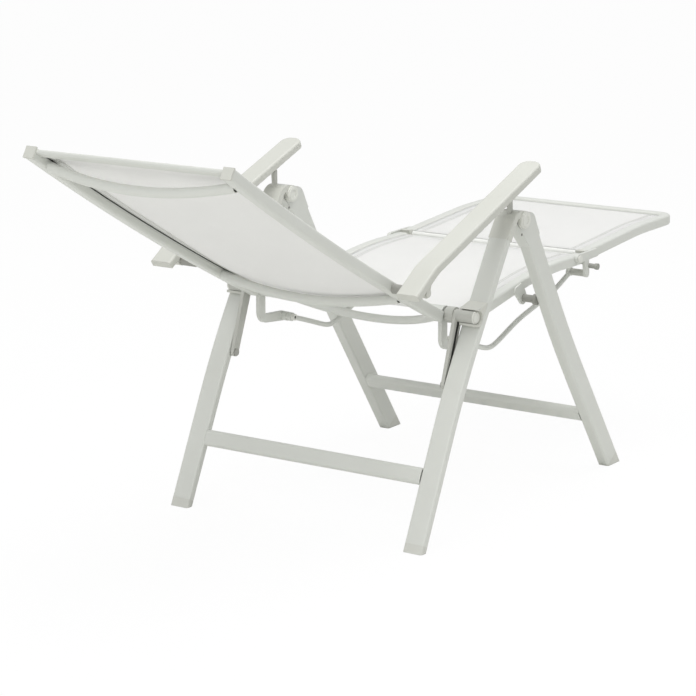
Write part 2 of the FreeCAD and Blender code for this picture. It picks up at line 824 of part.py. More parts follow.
def seat_sling(body):
    """The seat's fabric, which stops short of the hub arms."""
    sling(body, lambda path: seat_route(path, S.sling_trim, S.plug_thick))
    end = S.seat_rear_y - S.hub_trim
    low, high = S.seat_dip_z, S.seat_rear_z + S.rail_wide
    cut_plate(body, f"{body.Name}_end", 1, -rail_inner, rail_inner,
              [(end, low, 0), (S.axle_y, low, 0), (S.axle_y, high, 0), (end, high, 0)])


def seat_hub(body, side):
    """The hub that carries the seat on the rear axle, welded to the inside of the seat rail."""
    bore = S.axle_round + S.pin_gap
    plate(body, f"{body.Name}_arm", side, hub_face, rail_inner,
          [(S.seat_dip_y + 24, S.seat_dip_z + 3, 7), (*axle, S.hub_round)], [(*axle, bore)])
    disc(body, f"{body.Name}_ring", side, rail_inner, rail_inner + 4.6, *axle, S.hub_round, bore)
    disc(body, f"{body.Name}_end", side, hub_face - 5, hub_face, *axle, S.hub_round)


def seat_plug(body, side):
    """The moulded plug that closes the front of a seat rail, rounded towards the knee."""
    half, soft = S.rail_wide / 2, S.rail_corner
    nose = S.seat_front_y - S.plug_thick + soft
    over, up = half * sine(seat_front_slope), half * cosine(seat_front_slope)
    plate(body, f"{body.Name}_nose", side, rail_inner, S.rail_outer,
          [(nose, S.seat_front_z - half + soft, soft), (S.seat_front_y + over, S.seat_front_z - up, 0),
           (S.seat_front_y - over, S.seat_front_z + up, 0), (nose, S.seat_front_z + half - soft, soft)])


def knee_pin(body, side):
    """The rivet on the seat rail that the footrest turns on."""
    knee = (S.knee_y, S.knee_z)
    face = lever_outer + S.side_gap
    disc(body, f"{body.Name}_shank", side, S.rail_outer, face, *knee, S.knee_pin_round)
    disc(body, f"{body.Name}_head", side, face, face + 2.5, *knee, S.knee_pin_round + 3.5)


def seat_bracket(body, side):
    """The plate outside the seat rail that carries the front pivot."""
    plate(body, f"{body.Name}_outline", side, S.rail_outer, S.rail_outer + S.bracket_thick,
          [(S.seat_pin_y, S.seat_pin_z, 13), (S.seat_pin_y + 24, S.seat_pin_z + 17, 8),
           (S.seat_pin_y + 8, S.seat_pin_z + 22, 8)])


def seat_pivot(body, side):
    """The pivot tube and its flared bush, which meet the inner face of the front leg."""
    pin = (S.seat_pin_y, S.seat_pin_z)
    flare = front_leg_inner - 8
    disc(body, f"{body.Name}_tube", side, S.rail_outer + S.bracket_thick, flare, *pin, 7.5)
    disc(body, f"{body.Name}_bush", side, flare, front_leg_inner - S.side_gap, *pin, 10.5)


# ---------------------------------------------------------------- backrest
back_rise = S.back_top_z - S.back_low_z
back_run = S.back_top_y - S.back_low_y
back_long = root(back_rise * back_rise + back_run * back_run)
back_slope = angle_of(back_rise, back_run)


def back_point(share, above=0):
    """A point at a share of the back rail, `above` its middle line along the front normal."""
    sag = back_long * back_long * (share * (1 - share)) / (S.back_dish * 2)
    off = above - sag
    return (S.back_low_y + back_run * share - off * back_rise / back_long,
            S.back_low_z + back_rise * share + off * back_run / back_long)


def back_route(path, low=0, high=1):
    """The dished line of the back rails, between two shares of its length."""
    draw_bow(path, back_point(low), back_point(high), S.back_dish)


def back_crank(body, side):
    """The backrest's hub on the rear axle and the crank that hangs from it."""
    hub_inner = rail_inner + 5
    bore = S.axle_round + S.pin_gap
    shallow = back_slope - arc_sine(back_long / (S.back_dish * 2))
    reach = (S.rail_wide - S.rail_wall) / 2
    over, up = reach * sine(shallow), reach * cosine(shallow)
    plate(body, f"{body.Name}_hub", side, hub_inner, hub_inner + 11,
          [(*axle, S.hub_round), (S.back_low_y + over, S.back_low_z - up, 0),
           (S.back_low_y - over, S.back_low_z + up, 0)], [(*axle, bore)])
    plate(body, f"{body.Name}_arm", side, hub_inner + 1, hub_inner + 9,
          [(*axle, 10), (S.axle_y - 15, S.crank_pin_z + 18, -5), (S.crank_pin_y, S.crank_pin_z, 9.5),
           (S.axle_y - 15, S.crank_pin_z + 21, 25)], [(*axle, bore)])
    disc(body, f"{body.Name}_knuckle", side, S.rod_at + S.rod_round + 1 + S.side_gap, hub_inner + 1,
         S.crank_pin_y, S.crank_pin_z, 9)


def back_plug(body, side):
    """The plug that closes the top of a back rail."""
    half = S.rail_wide / 2
    steep = back_slope + arc_sine(back_long / (S.back_dish * 2))
    out_y, out_z = S.plug_thick * cosine(steep), S.plug_thick * sine(steep)
    up_y, up_z = -half * sine(steep), half * cosine(steep)
    low = (S.back_top_y - up_y, S.back_top_z - up_z)
    high = (S.back_top_y + up_y, S.back_top_z + up_z)
    plate(body, f"{body.Name}_cap", side, rail_inner, S.rail_outer,
          [(*low, 0), (low[0] + out_y, low[1] + out_z, 0), (high[0] + out_y, high[1] + out_z, 0), (*high, 0)])


head_bar_share = 1 - S.head_bar_deep / back_long


def back_bars():
    """The flat head bar and the two round bars that bow behind the sitter's back."""
    steep = back_slope + arc_sine(back_long / (S.back_dish * 2))
    drop = S.rail_wide / 2 - S.head_bar_down - S.head_bar_tall / 2
    middle = back_point(1 - S.head_bar_deep / (back_long * 2), drop)
    flat_bar(new_body("back_head_bar"), middle, steep, S.head_bar_deep / 2, S.head_bar_tall / 2,
             S.head_bar_corner, S.bar_wall, rail_inner)
    for label, share, bow in (("back_upper_bar", S.upper_bar_share, S.upper_bow),
                              ("back_lower_bar", S.lower_bar_share, S.lower_bow)):
        bowed_bar(new_body(label), rail_inner, *back_point(share, -S.bar_round / 2), back_slope + 90, bow,
                  S.bar_round, S.bar_wall)


def arm_pin(body, side):
    """The pin on the back rail that the armrest swings on, with its outer cap."""
    pin = (S.arm_pin_y, S.arm_pin_z)
    face = arm_inner + S.arm_lug_in + S.arm_lug_wide + S.side_gap
    disc(body, f"{body.Name}_shank", side, S.rail_outer, face, *pin, S.arm_pin_round)
    disc(body, f"{body.Name}_cap", side, face, face + 3, *pin, 7.5)


# ---------------------------------------------------------------- footrest
lever_inner = S.rail_outer + S.side_gap
lever_outer = lever_inner + S.lever_thick
foot_slope = angle_of(S.foot_join_z - S.foot_bend_z, S.foot_bend_y - S.foot_join_y)
foot_rear_slope = angle_of(S.foot_bend_z - S.foot_rear_z, S.foot_rear_y - S.foot_bend_y)


def foot_route(path, trim=0, beyond=0):
    """The line of the footrest rails, from the knee to the front loop or beyond that joint."""
    draw_route(path, [(S.foot_rear_y - trim, S.foot_rear_z), (S.foot_bend_y, S.foot_bend_z),
                      (S.foot_join_y - beyond * cosine(foot_slope), S.foot_join_z + beyond * sine(foot_slope))],
               [S.foot_bend])


def foot_loop(body):
    """The front of the footrest frame: one tube bent round both corners."""
    path = body.newObject("Sketcher::SketchObject", "foot_loop_path")
    path.AttachmentSupport = [(origin_plane(body, "XY_Plane"), "")]
    path.MapMode = "FlatFace"
    path.AttachmentOffset = Placement(Vector(0, number(S.foot_join_y), number(S.foot_join_z)),
                                      Rotation(Vector(1, 0, 0), -number(foot_slope)))
    path.setExpression("AttachmentOffset.Base.y", S.foot_join_y.text)
    path.setExpression("AttachmentOffset.Base.z", S.foot_join_z.text)
    path.setExpression("AttachmentOffset.Rotation.Angle", (-foot_slope).text)
    half = S.rail_wide / 2
    middle = S.rail_outer - half
    draw_route(path, [(-middle, 0), (-middle, -S.foot_front_run), (middle, -S.foot_front_run), (middle, 0)],
               [S.foot_corner, S.foot_corner])
    doc.recompute()
    inner = half - S.rail_wall
    pipe(body, path, box_pair=((half, half, S.rail_corner), (inner, inner, S.rail_corner - S.rail_wall)))


def foot_plug(body, side):
    """The moulded rear end of a footrest rail, hollowed round the knee pivot."""
    half = S.rail_wide / 2
    low, high = S.foot_rear_z - half, S.foot_rear_z + half
    over, up = half * sine(foot_rear_slope), half * cosine(foot_rear_slope)
    rear = S.foot_rear_y + S.foot_plug_long
    plate(body, f"{body.Name}_block", side, rail_inner, S.rail_outer,
          [(S.foot_rear_y - over, S.foot_rear_z - up, 0), (rear, low, 0), (rear, high, 0),
           (S.foot_rear_y + over, S.foot_rear_z + up, 0)])
    start, wide = across(side, rail_inner, S.rail_outer)
    hollow = side_sketch(body, f"{body.Name}_hollow", start)
    draw_circle(hollow, S.knee_y, S.knee_z, S.knee_clear_round)
    pocket(body, hollow, wide)


def foot_lever(body, side):
    """The plate beside the knee that carries the footrest and takes the push rod."""
    knee = (S.knee_y, S.knee_z)
    lever = (S.lever_pin_y, S.lever_pin_z)
    hang = (S.lever_pin_y + 3, S.foot_rear_z)
    plate(body, f"{body.Name}_bar", side, lever_inner, lever_outer,
          [(*knee, 9), (S.foot_rear_y - 26, S.foot_rear_z + 3, 8)], [(*knee, S.knee_pin_round + S.pin_gap)])
    plate(body, f"{body.Name}_strap", side, lever_inner, lever_outer, [(*hang, 9), (*lever, 8)])
    disc(body, f"{body.Name}_weld", side, S.rail_outer, lever_inner, S.foot_rear_y - 22, S.foot_rear_z + 1, 6)


def lever_pin(body, side):
    """The pin inboard of the lever, with the dark sleeve and the end that the push rod hangs on."""
    lever = (S.lever_pin_y, S.lever_pin_z)
    eye_outer = S.rod_at + S.rod_round - 1 + S.side_gap
    eye_inner = S.rod_at - S.rod_round + 1 - S.side_gap
    disc(body, f"{body.Name}_sleeve", side, eye_outer, lever_inner, *lever, 7)
    disc(body, f"{body.Name}_shank", side, eye_inner, eye_outer, *lever, S.rod_pin_round)
    disc(body, f"{body.Name}_head", side, eye_inner - 2, eye_inner, *lever, 6)


def foot_bumper(body, side):
    """The rubber-tipped stub outside the lever."""
    place = (S.lever_pin_y - 8, S.lever_pin_z + 15)
    disc(body, f"{body.Name}_stub", side, lever_outer, lever_outer + 14, *place, 5)
    disc(body, f"{body.Name}_tip", side, lever_outer + 14, lever_outer + 20, *place, 6.5)


# ---------------------------------------------------------------- push rods
def push_rod(body, side):
    """The bent rod from the crank to the lever, with a flattened eye at each end."""
    path = side_sketch(body, f"{body.Name}_path", S.rod_at * side)
    draw_route(path, [(S.crank_pin_y - 3, S.crank_pin_z - 1), (S.rod_low_y, S.rod_low_z),
                      (S.rod_kink_y, S.rod_kink_z), (S.lever_pin_y + 6, S.lever_pin_z - 4)],
               [S.rod_bend, S.rod_bend])
    doc.recompute()
    pipe(body, path, radius_pair=(S.rod_round, None))
    low, high = S.rod_at - S.rod_round + 1, S.rod_at + S.rod_round - 1
    disc(body, f"{body.Name}_rear_eye", side, low, high, S.crank_pin_y, S.crank_pin_z, 8.5)
    disc(body, f"{body.Name}_front_eye", side, low, high, S.lever_pin_y, S.lever_pin_z, 8.5)
    for where, inner, outer, radius in (("faces_in", low - 6, low, 10), ("faces_out", high, high + 6, 10),
                                        ("bore", low, high, S.rod_pin_round + S.pin_gap)):
        start, wide = across(side, inner, outer)
        sketch = side_sketch(body, f"{body.Name}_{where}", start)
        draw_circle(sketch, S.lever_pin_y, S.lever_pin_z, radius)
        pocket(body, sketch, wide)
        if where != "bore":
            sketch = side_sketch(body, f"{body.Name}_{where}_rear", start)
            draw_circle(sketch, S.crank_pin_y, S.crank_pin_z, radius)
            pocket(body, sketch, wide)


def rod_screw(body, side):
    """The socket screw at the crank end of the push rod, and the washer behind the eye."""
    pin = (S.crank_pin_y, S.crank_pin_z)
    face = S.rod_at - S.rod_round + 1
    disc(body, f"{body.Name}_head", side, face - 4, face, *pin, 6.5)
    disc(body, f"{body.Name}_socket", side, face - 7, face - 4, *pin, 6.5, 3)
    back = S.rod_at + S.rod_round - 1
    disc(body, f"{body.Name}_washer", side, back, back + 2, *pin, 8)


# ---------------------------------------------------------------- slings
def sling(body, route):
    """The stretched fabric between two rails, a flat strip along their route."""
    path = side_sketch(body, f"{body.Name}_path", 0)
    route(path)
    doc.recompute()
    half = rail_inner - S.sling_side_gap
    section = body.newObject("Sketcher::SketchObject", f"{body.Name}_section")
    section.AttachmentSupport = [(path, "Edge1")]
    section.MapMode = "NormalToEdge"
    section.MapPathParameter = 0
    low, high = S.sling_lift, S.sling_lift + S.sling_thick
    up = section_up(path)
    if up > 0:
        belt = [(-half, low, 0), (half, low, 0), (half, high, 0), (-half, high, 0)]
    else:
        belt = [(-half, -high, 0), (half, -high, 0), (half, -low, 0), (-half, -low, 0)]
    draw_belt(section, belt)
    sweep = body.newObject("PartDesign::AdditivePipe", f"{body.Name}_sweep")
    sweep.Profile = section
    sweep.Spine = (path, [f"Edge{i + 1}" for i in range(len(path.Shape.Edges))])


def section_up(path):
    """+1 if a section attached to this path has its Y axis upwards, or -1 if it points down."""
    return 1 if probe_way(path, Vector(0, 1, 0)).z > 0 else -1


# ---------------------------------------------------------------- armrests
def arm_point(along, above):
    """A point of the armrest, `along` forward of its pivot and `above` it, square to its slope."""
    return (S.arm_pin_y - along * cosine(S.arm_slope) + above * sine(S.arm_slope),
            S.arm_pin_z + along * sine(S.arm_slope) + above * cosine(S.arm_slope))


arm_reach = (S.arm_pin_y - S.arm_front_y) / cosine(S.arm_slope)


def armrest(body, side):
    """The long board of the armrest, its tail bent down over the pivot lug."""
    low, high = S.arm_offset, S.arm_offset + S.arm_thick
    bend = (*arm_point(48, low - 90),)
    plate(body, f"{body.Name}_board", side, arm_inner, arm_outer,
          [(*arm_point(arm_reach, low), 0), (*bend, -90), (*arm_point(-35, 3), 0),
           (*arm_point(-39, 17.5), 0), (*bend, 90 + S.arm_thick), (*arm_point(arm_reach, high), 0)])
    inner = arm_inner + S.arm_lug_in
    plate(body, f"{body.Name}_lug", side, inner, inner + S.arm_lug_wide,
          [(S.arm_pin_y, S.arm_pin_z, 9.5), (*arm_point(-14, 12), 4), (*arm_point(22, low + 2), 4)])
    start, wide = across(side, inner, inner + S.arm_lug_wide)
    bore = side_sketch(body, f"{body.Name}_bore", start)
    draw_circle(bore, S.arm_pin_y, S.arm_pin_z, S.arm_pin_round + S.pin_gap)
    pocket(body, bore, wide)
    tip = Vector(0, *[number(value) for value in arm_point(arm_reach, low)])
    soften(body, S.arm_corner, lambda edge: square_to_slope(edge) and far_from(edge, tip) < 30)
    soften(body, S.arm_edge, top_edge)


def square_to_slope(edge):
    """True for a straight edge through the thickness of the armrest."""
    if edge.Curve.TypeId != "Part::GeomLine":
        return False
    slope = math.radians(number(S.arm_slope))
    return abs(edge.Curve.Direction.dot(Vector(0, math.sin(slope), math.cos(slope)))) > 0.999


def far_from(edge, spot):
    """The distance of an edge's middle from a spot, seen from the side."""
    away = edge.CenterOfMass - spot
    return math.hypot(away.y, away.z)


def top_edge(edge):
    """True for an edge of the armrest's top face."""
    slope = math.radians(number(S.arm_slope))
    up = Vector(0, math.sin(slope), math.cos(slope))
    pivot = Vector(0, number(S.arm_pin_y), number(S.arm_pin_z))
    height = number(S.arm_offset + S.arm_thick)
    bend = Vector(0, *[number(value) for value in arm_point(48, S.arm_offset - 90)])
    for spot in (edge.valueAt(edge.FirstParameter), edge.valueAt(edge.LastParameter)):
        above = (spot - pivot).dot(up)
        round_bend = math.hypot(spot.y - bend.y, spot.z - bend.z)
        if abs(above - height) > 0.2 and abs(round_bend - 90 - number(S.arm_thick)) > 0.2:
            return False
    return True


def arm_bush(body, side):
    """The spacer that turns with the armrest on its pin."""
    disc(body, f"{body.Name}_ring", side, S.rail_outer + S.side_gap, arm_inner + S.arm_lug_in - S.side_gap,
         S.arm_pin_y, S.arm_pin_z, 9, S.arm_pin_round + S.pin_gap)


def arm_rack(body, side):
    """The notched strip under the armrest that the catch drops into."""
    low = S.arm_offset - S.rack_thick
    middle = catch_middle
    start, end = 190, 372
    plate(body, f"{body.Name}_strip", side, middle - 9, middle + 9,
          [(*arm_point(end, low), 0), (*arm_point(start, low), 0), (*arm_point(start, S.arm_offset), 0),
           (*arm_point(end, S.arm_offset), 0)])
    for i in range(7):
        at = start + 16 + i * 25
        cut_plate(body, f"{body.Name}_notch{i}", side, middle - 9, middle + 9,
                  [(*arm_point(at + 6, low - 1), 0), (*arm_point(at, low - 1), 0),
                   (*arm_point(at - 4, low + 4), 0), (*arm_point(at + 5, low + 4), 0)])


def in_pair(label, draw):
    """A node for the left piece and one for the right piece."""
    for name, side in SIDES.items():
        draw(new_body(f"{label}_{name}"), side)


def as_group(label, draw):
    """One node that holds the left and the right piece as separate solids."""
    body = new_body(label)
    for side in SIDES.values():
        draw(body, side)


def build_standing_frame():
    """The two pairs of legs, their feet, heads and cross tubes."""
    in_pair("rear_leg", rear_leg)
    in_pair("front_leg", front_leg)
    foot_caps(new_body("rear_foot_caps"), rear_leg_inner, leg_outer, S.rear_foot_y, S.rear_lean,
              S.rear_leg_deep, S.foot_cap_tall)
    foot_caps(new_body("front_foot_caps"), front_leg_inner, front_leg_outer, S.front_foot_y,
              S.front_lean, S.front_leg_deep, S.front_cap_tall)
    cross_tube(new_body("rear_cross_tube"), S.rear_foot_y, S.rear_lean, S.rear_cross_at, 0, rear_leg_inner)
    cross_tube(new_body("front_cross_tube"), S.front_foot_y, S.front_lean, S.front_cross_at,
               (S.front_leg_deep - S.cross_deep) / 2, front_leg_inner)
    in_pair("rear_head", rear_head)
    in_pair("front_head", front_head)
    as_group("apex_pins", apex_pin)
    as_group("armrest_catches", armrest_catch)
    as_group("axle_saddles", saddle)


def build_links():
    """The link arms behind the seat and everything that sits on the rear axles."""
    in_pair("link_arm", link_arm)
    as_group("link_rivets", link_rivet)
    as_group("rear_axles", rear_axle)
    as_group("axle_spacers", axle_spacers)
    as_group("axle_sleeves", axle_sleeve)
    as_group("axle_caps", axle_cap)


def build_seat():
    """The seat frame with its sling and pivots."""
    in_pair("seat_rail", lambda body, side: rail(body, side, seat_route))
    in_pair("seat_hub", seat_hub)
    as_group("seat_plugs", seat_plug)
    as_group("knee_pins", knee_pin)
    as_group("seat_brackets", seat_bracket)
    as_group("seat_pivots", seat_pivot)
    bowed_bar(new_body("seat_front_bar"), rail_inner, S.seat_front_y + S.front_bar_in,
              S.seat_front_z - bar_drop(S.seat_bar_round), 0, 0, S.seat_bar_round, S.bar_wall)
    bowed_bar(new_body("seat_rear_bar"), hub_face, *seat_rear_point(S.seat_bar_round),
              S.seat_bow_lean, S.seat_bow, S.seat_bar_round, S.bar_wall)
    seat_sling(new_body("seat_sling"))


def build_backrest():
    """The backrest frame with its sling, cranks and armrest pins."""
    in_pair("back_rail", lambda body, side: rail(body, side, back_route))
    in_pair("back_crank", back_crank)
    as_group("back_plugs", back_plug)
    as_group("armrest_pins", arm_pin)
    back_bars()
    sling_top = head_bar_share - S.side_gap / back_long
    sling(new_body("back_sling"), lambda path: back_route(path, S.back_sling_low, sling_top))


def build_footrest():
    """The footrest frame with its sling, levers and bumpers, and the rods that push it."""
    in_pair("foot_rail", lambda body, side: rail(body, side, foot_route))
    foot_loop(new_body("foot_front_loop"))
    bowed_bar(new_body("foot_rear_bar"), rail_inner, S.foot_rear_y - S.rear_bar_in,
              S.foot_rear_z - bar_drop(S.seat_bar_round), 0, 0, S.seat_bar_round, S.bar_wall)
    as_group("foot_plugs", foot_plug)
    as_group("foot_levers", foot_lever)
    as_group("lever_pins", lever_pin)
    as_group("foot_bumpers", foot_bumper)
    sling(new_body("foot_sling"), lambda path: foot_route(path, S.foot_trim, S.foot_front_run - S.foot_corner))
    in_pair("push_rod", push_rod)
    as_group("rod_screws", rod_screw)


def build_armrests():
    in_pair("armrest", armrest)
    in_pair("armrest_rack", arm_rack)
    as_group("armrest_bushes", arm_bush)


build_standing_frame()
build_links()
build_seat()
build_backrest()
build_footrest()
build_armrests()
doc.recompute()

for feature in doc.Objects:
    if "Invalid" in feature.State or "Error" in feature.State:
        raise RuntimeError(f"{feature.Label} could not be built: {feature.State}")
os.makedirs("parts", exist_ok=True)
for piece in pieces:
    if piece.Shape.isNull() or not piece.Shape.isValid():
        raise RuntimeError(f"{piece.Label} has no valid shape")
    piece.Shape.exportStep(f"parts/{piece.Label}.step")
    print(f"{piece.Label}: {piece.Shape.Volume:.0f} mm3, {len(piece.Shape.Solids)} solids")
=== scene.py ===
"""Reclining garden armchair: its finishes and its stretched slings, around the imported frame.

Everything is in metres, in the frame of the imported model: +X to the sitter's left, +Y to the rear
and +Z up.  Sizes of small things are written in millimetres and multiplied by MM.
"""
from __future__ import annotations

import json
import logging
import math
from dataclasses import dataclass, field
from enum import Enum
from functools import cache
from typing import Any

import bmesh
import bpy
import numpy as np
from bpy.types import Material, Node, NodeSocket, NodeTree, Object, World
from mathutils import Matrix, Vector

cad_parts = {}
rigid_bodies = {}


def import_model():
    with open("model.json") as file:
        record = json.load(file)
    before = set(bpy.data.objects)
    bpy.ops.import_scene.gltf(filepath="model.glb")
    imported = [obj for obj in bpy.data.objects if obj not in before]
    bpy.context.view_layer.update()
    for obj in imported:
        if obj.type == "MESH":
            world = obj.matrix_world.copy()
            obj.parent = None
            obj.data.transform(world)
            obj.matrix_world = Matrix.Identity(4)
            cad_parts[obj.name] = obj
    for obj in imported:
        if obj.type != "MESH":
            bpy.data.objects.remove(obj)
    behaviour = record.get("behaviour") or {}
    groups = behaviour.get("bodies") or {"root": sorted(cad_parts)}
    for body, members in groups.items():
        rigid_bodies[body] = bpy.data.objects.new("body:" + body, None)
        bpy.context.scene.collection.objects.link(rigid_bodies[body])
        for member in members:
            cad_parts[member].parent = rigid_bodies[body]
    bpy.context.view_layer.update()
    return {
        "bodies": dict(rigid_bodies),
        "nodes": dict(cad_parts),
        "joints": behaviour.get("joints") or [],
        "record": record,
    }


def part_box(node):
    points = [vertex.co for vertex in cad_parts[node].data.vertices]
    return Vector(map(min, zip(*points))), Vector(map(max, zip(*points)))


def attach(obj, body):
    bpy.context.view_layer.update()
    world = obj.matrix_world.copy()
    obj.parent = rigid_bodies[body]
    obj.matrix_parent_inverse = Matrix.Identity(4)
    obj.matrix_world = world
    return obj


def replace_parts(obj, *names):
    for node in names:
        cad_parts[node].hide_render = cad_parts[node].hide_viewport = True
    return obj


log = logging.getLogger("armchair")
MM = 0.001
SIDES = {"left": 1, "right": -1}  # the sign of x on each side
SHARP_ANGLE = math.radians(28)  # faces that meet at more than this show a sharp edge
FRAME: dict[str, Any] = {}

Pair = tuple[float, float]
Point = tuple[float, float, float]
Faces = list[tuple[int, ...]]


# ---------------------------------------------------------------- material helpers
def linear(code: str) -> tuple[float, float, float, float]:
    """Turns an sRGB hex colour into the linear colour that Blender's sockets take.

    Args:
        code: the colour as "#RRGGBB".

    Returns:
        Red, green, blue and an alpha of 1, all from 0 to 1.
    """
    parts = [int(code[i:i + 2], 16) / 255 for i in (1, 3, 5)]
    return (*(p / 12.92 if p <= 0.04045 else ((p + 0.055) / 1.055) ** 2.4 for p in parts), 1.0)


def add_node(tree: NodeTree, kind: str, inputs: dict[str | int, Any] | None = None,
             **settings: Any) -> Node:
    """Adds one node to a tree with its settings, values and links.

    Args:
        tree: the shader or geometry tree.
        kind: the node's type name.
        inputs: a value or an output socket for each input, by the input's name or number.
        settings: the node's own properties.

    Returns:
        The new node.
    """
    node = tree.nodes.new(kind)
    for key, value in settings.items():
        setattr(node, key, value)
    for key, value in (inputs or {}).items():
        if isinstance(value, NodeSocket):
            tree.links.new(value, node.inputs[key])
        else:
            node.inputs[key].default_value = value
    return node


class Pattern(Enum):
    """The coordinates that a finish's pattern is laid out on."""

    SPACE = "Object"
    CLOTH = "UV"


def empty_tree(owner: Material | World) -> NodeTree:
    """Turns on the nodes of a material or world and clears them.

    Args:
        owner: the material or world.

    Returns:
        Its empty node tree.
    """
    owner.use_nodes = True
    owner.node_tree.nodes.clear()
    return owner.node_tree


def new_surface(name: str, pattern: Pattern) -> tuple[Material, NodeTree, Any]:
    """Starts a node material.

    Args:
        name: the material's name.
        pattern: the coordinates that its pattern uses.

    Returns:
        The material, its node tree and the coordinates' output socket.
    """
    material = bpy.data.materials.new(name)
    tree = empty_tree(material)
    place = add_node(tree, "ShaderNodeTexCoord").outputs[pattern.value]
    return material, tree, place


# ---------------------------------------------------------------- finishes
@dataclass(frozen=True)
class Coating:
    """A hard, slightly textured surface: powder coat on metal, or moulded polymer.

    Powder coat is sprayed as dry resin and melted on, which leaves a shallow orange peel; a
    moulded polymer carries the fine spark-eroded grain of its tool.  Both give the eye a soft,
    broad highlight that wavers a little, with edges that are rounded by the film or the mould.
    """

    name: str
    colour: str
    deep_colour: str
    roughness: float
    grain_mm: float
    grain_height_mm: float
    edge_mm: float
    ior: float = 1.5
    metallic: float = 0.0
    cloud_mm: float = 140.0
    rough_spread: float = 0.05
    edge_samples: int = 6

    def build(self) -> Material:
        """Makes the material.

        Returns:
            The material: a faint cloud in tone and roughness, fine grain and softened edges.
        """
        material, tree, place = new_surface(self.name, Pattern.SPACE)
        cloud = add_node(tree, "ShaderNodeTexNoise",
                         {"Vector": place, "Scale": 1 / (self.cloud_mm * MM), "Detail": 3.0,
                          "Roughness": 0.5})
        tone = add_node(tree, "ShaderNodeMix",
                        {"Factor": cloud.outputs["Fac"], 6: linear(self.deep_colour), 7: linear(self.colour)},
                        data_type="RGBA")
        grain = add_node(tree, "ShaderNodeTexNoise",
                         {"Vector": place, "Scale": 1 / (self.grain_mm * MM), "Detail": 2.0})
        rough = add_node(tree, "ShaderNodeMapRange",
                         {"Value": cloud.outputs["Fac"], "From Min": 0.3, "From Max": 0.7,
                          "To Min": self.roughness - self.rough_spread,
                          "To Max": self.roughness + self.rough_spread})
        edges = add_node(tree, "ShaderNodeBevel", {"Radius": self.edge_mm * MM},
                         samples=self.edge_samples)
        bump = add_node(tree, "ShaderNodeBump",
                        {"Height": grain.outputs["Fac"], "Distance": self.grain_height_mm * MM,
                         "Strength": 1.0, "Normal": edges.outputs["Normal"]})
        shader = add_node(tree, "ShaderNodeBsdfPrincipled",
                          {"Base Color": tone.outputs[2], "Roughness": rough.outputs["Result"],
                           "Metallic": self.metallic, "IOR": self.ior, "Normal": bump.outputs["Normal"]})
        add_node(tree, "ShaderNodeOutputMaterial", {"Surface": shader.outputs["BSDF"]})
        return material


@dataclass(frozen=True)
class CoatedMesh:
    """Polyester yarn coated with PVC, woven flat and stretched.

    Its yarns are about 0.5 mm thick and 1.1 mm apart, drawn here at twice that so that the weave
    shows, and the gaps between the yarns are painted darker as painted shade.  Light comes through it,
    so its underside glows softly, and its doubled hem is given a darker colour as painted shade.
    """

    name: str
    colour: str
    gap_shade_colour: str
    pitch_mm: float = 2.2
    glow: float = 0.30
    roughness: float = 0.55
    sheen: float = 0.15
    relief_mm: float = 0.35
    relief_strength: float = 0.35
    cloud_mm: float = 90.0

    def build(self) -> Material:
        """Makes the material.

        Returns:
            The material: a plain weave in relief, with painted shade in its gaps, which lets some light
                through.
        """
        material, tree, place = new_surface(self.name, Pattern.CLOTH)
        split = add_node(tree, "ShaderNodeSeparateXYZ", {"Vector": place})
        turns = math.pi / (self.pitch_mm * MM)
        ridges = []
        for axis in ("X", "Y"):
            angle = add_node(tree, "ShaderNodeMath", {0: split.outputs[axis], 1: turns}, operation="MULTIPLY")
            wave = add_node(tree, "ShaderNodeMath", {0: angle.outputs[0]}, operation="SINE")
            ridges.append(add_node(tree, "ShaderNodeMath", {0: wave.outputs[0]}, operation="ABSOLUTE"))
        squares = add_node(tree, "ShaderNodeTexChecker",
                           {"Vector": place, "Color1": (1, 1, 1, 1), "Color2": (0, 0, 0, 1),
                            "Scale": 1 / (self.pitch_mm * MM)})
        height = add_node(tree, "ShaderNodeMix",
                          {"Factor": squares.outputs["Fac"], 2: ridges[0].outputs[0],
                           3: ridges[1].outputs[0]}, data_type="FLOAT")
        # the gaps between the yarns get the darker colour: painted shade
        gap_shade = add_node(tree, "ShaderNodeMapRange",
                        {"Value": height.outputs[0], "From Min": 0.05, "From Max": 0.5})
        cloud = add_node(tree, "ShaderNodeTexNoise",
                         {"Vector": place, "Scale": 1 / (self.cloud_mm * MM), "Detail": 3.0,
                          "Roughness": 0.6})
        tone = add_node(tree, "ShaderNodeMix",
                        {"Factor": gap_shade.outputs["Result"], 6: linear(self.gap_shade_colour),
                         7: linear(self.colour)}, data_type="RGBA")
        worn = add_node(tree, "ShaderNodeHueSaturation",
                        {"Color": tone.outputs[2],
                         "Value": add_node(tree, "ShaderNodeMapRange",
                                           {"Value": cloud.outputs["Fac"], "To Min": 0.97,
                                            "To Max": 1.02}).outputs["Result"]})
        bump = add_node(tree, "ShaderNodeBump",
                        {"Height": height.outputs[0], "Distance": self.relief_mm * MM,
                         "Strength": self.relief_strength})
        shader = add_node(tree, "ShaderNodeBsdfPrincipled",
                          {"Base Color": worn.outputs["Color"], "Roughness": self.roughness,
                           "Sheen Weight": self.sheen, "Normal": bump.outputs["Normal"]})
        through = add_node(tree, "ShaderNodeBsdfTranslucent",
                           {"Color": worn.outputs["Color"], "Normal": bump.outputs["Normal"]})
        mixed = add_node(tree, "ShaderNodeMixShader",
                         {0: self.glow, 1: shader.outputs["BSDF"], 2: through.outputs["BSDF"]})
        add_node(tree, "ShaderNodeOutputMaterial", {"Surface": mixed.outputs["Shader"]})
        return material
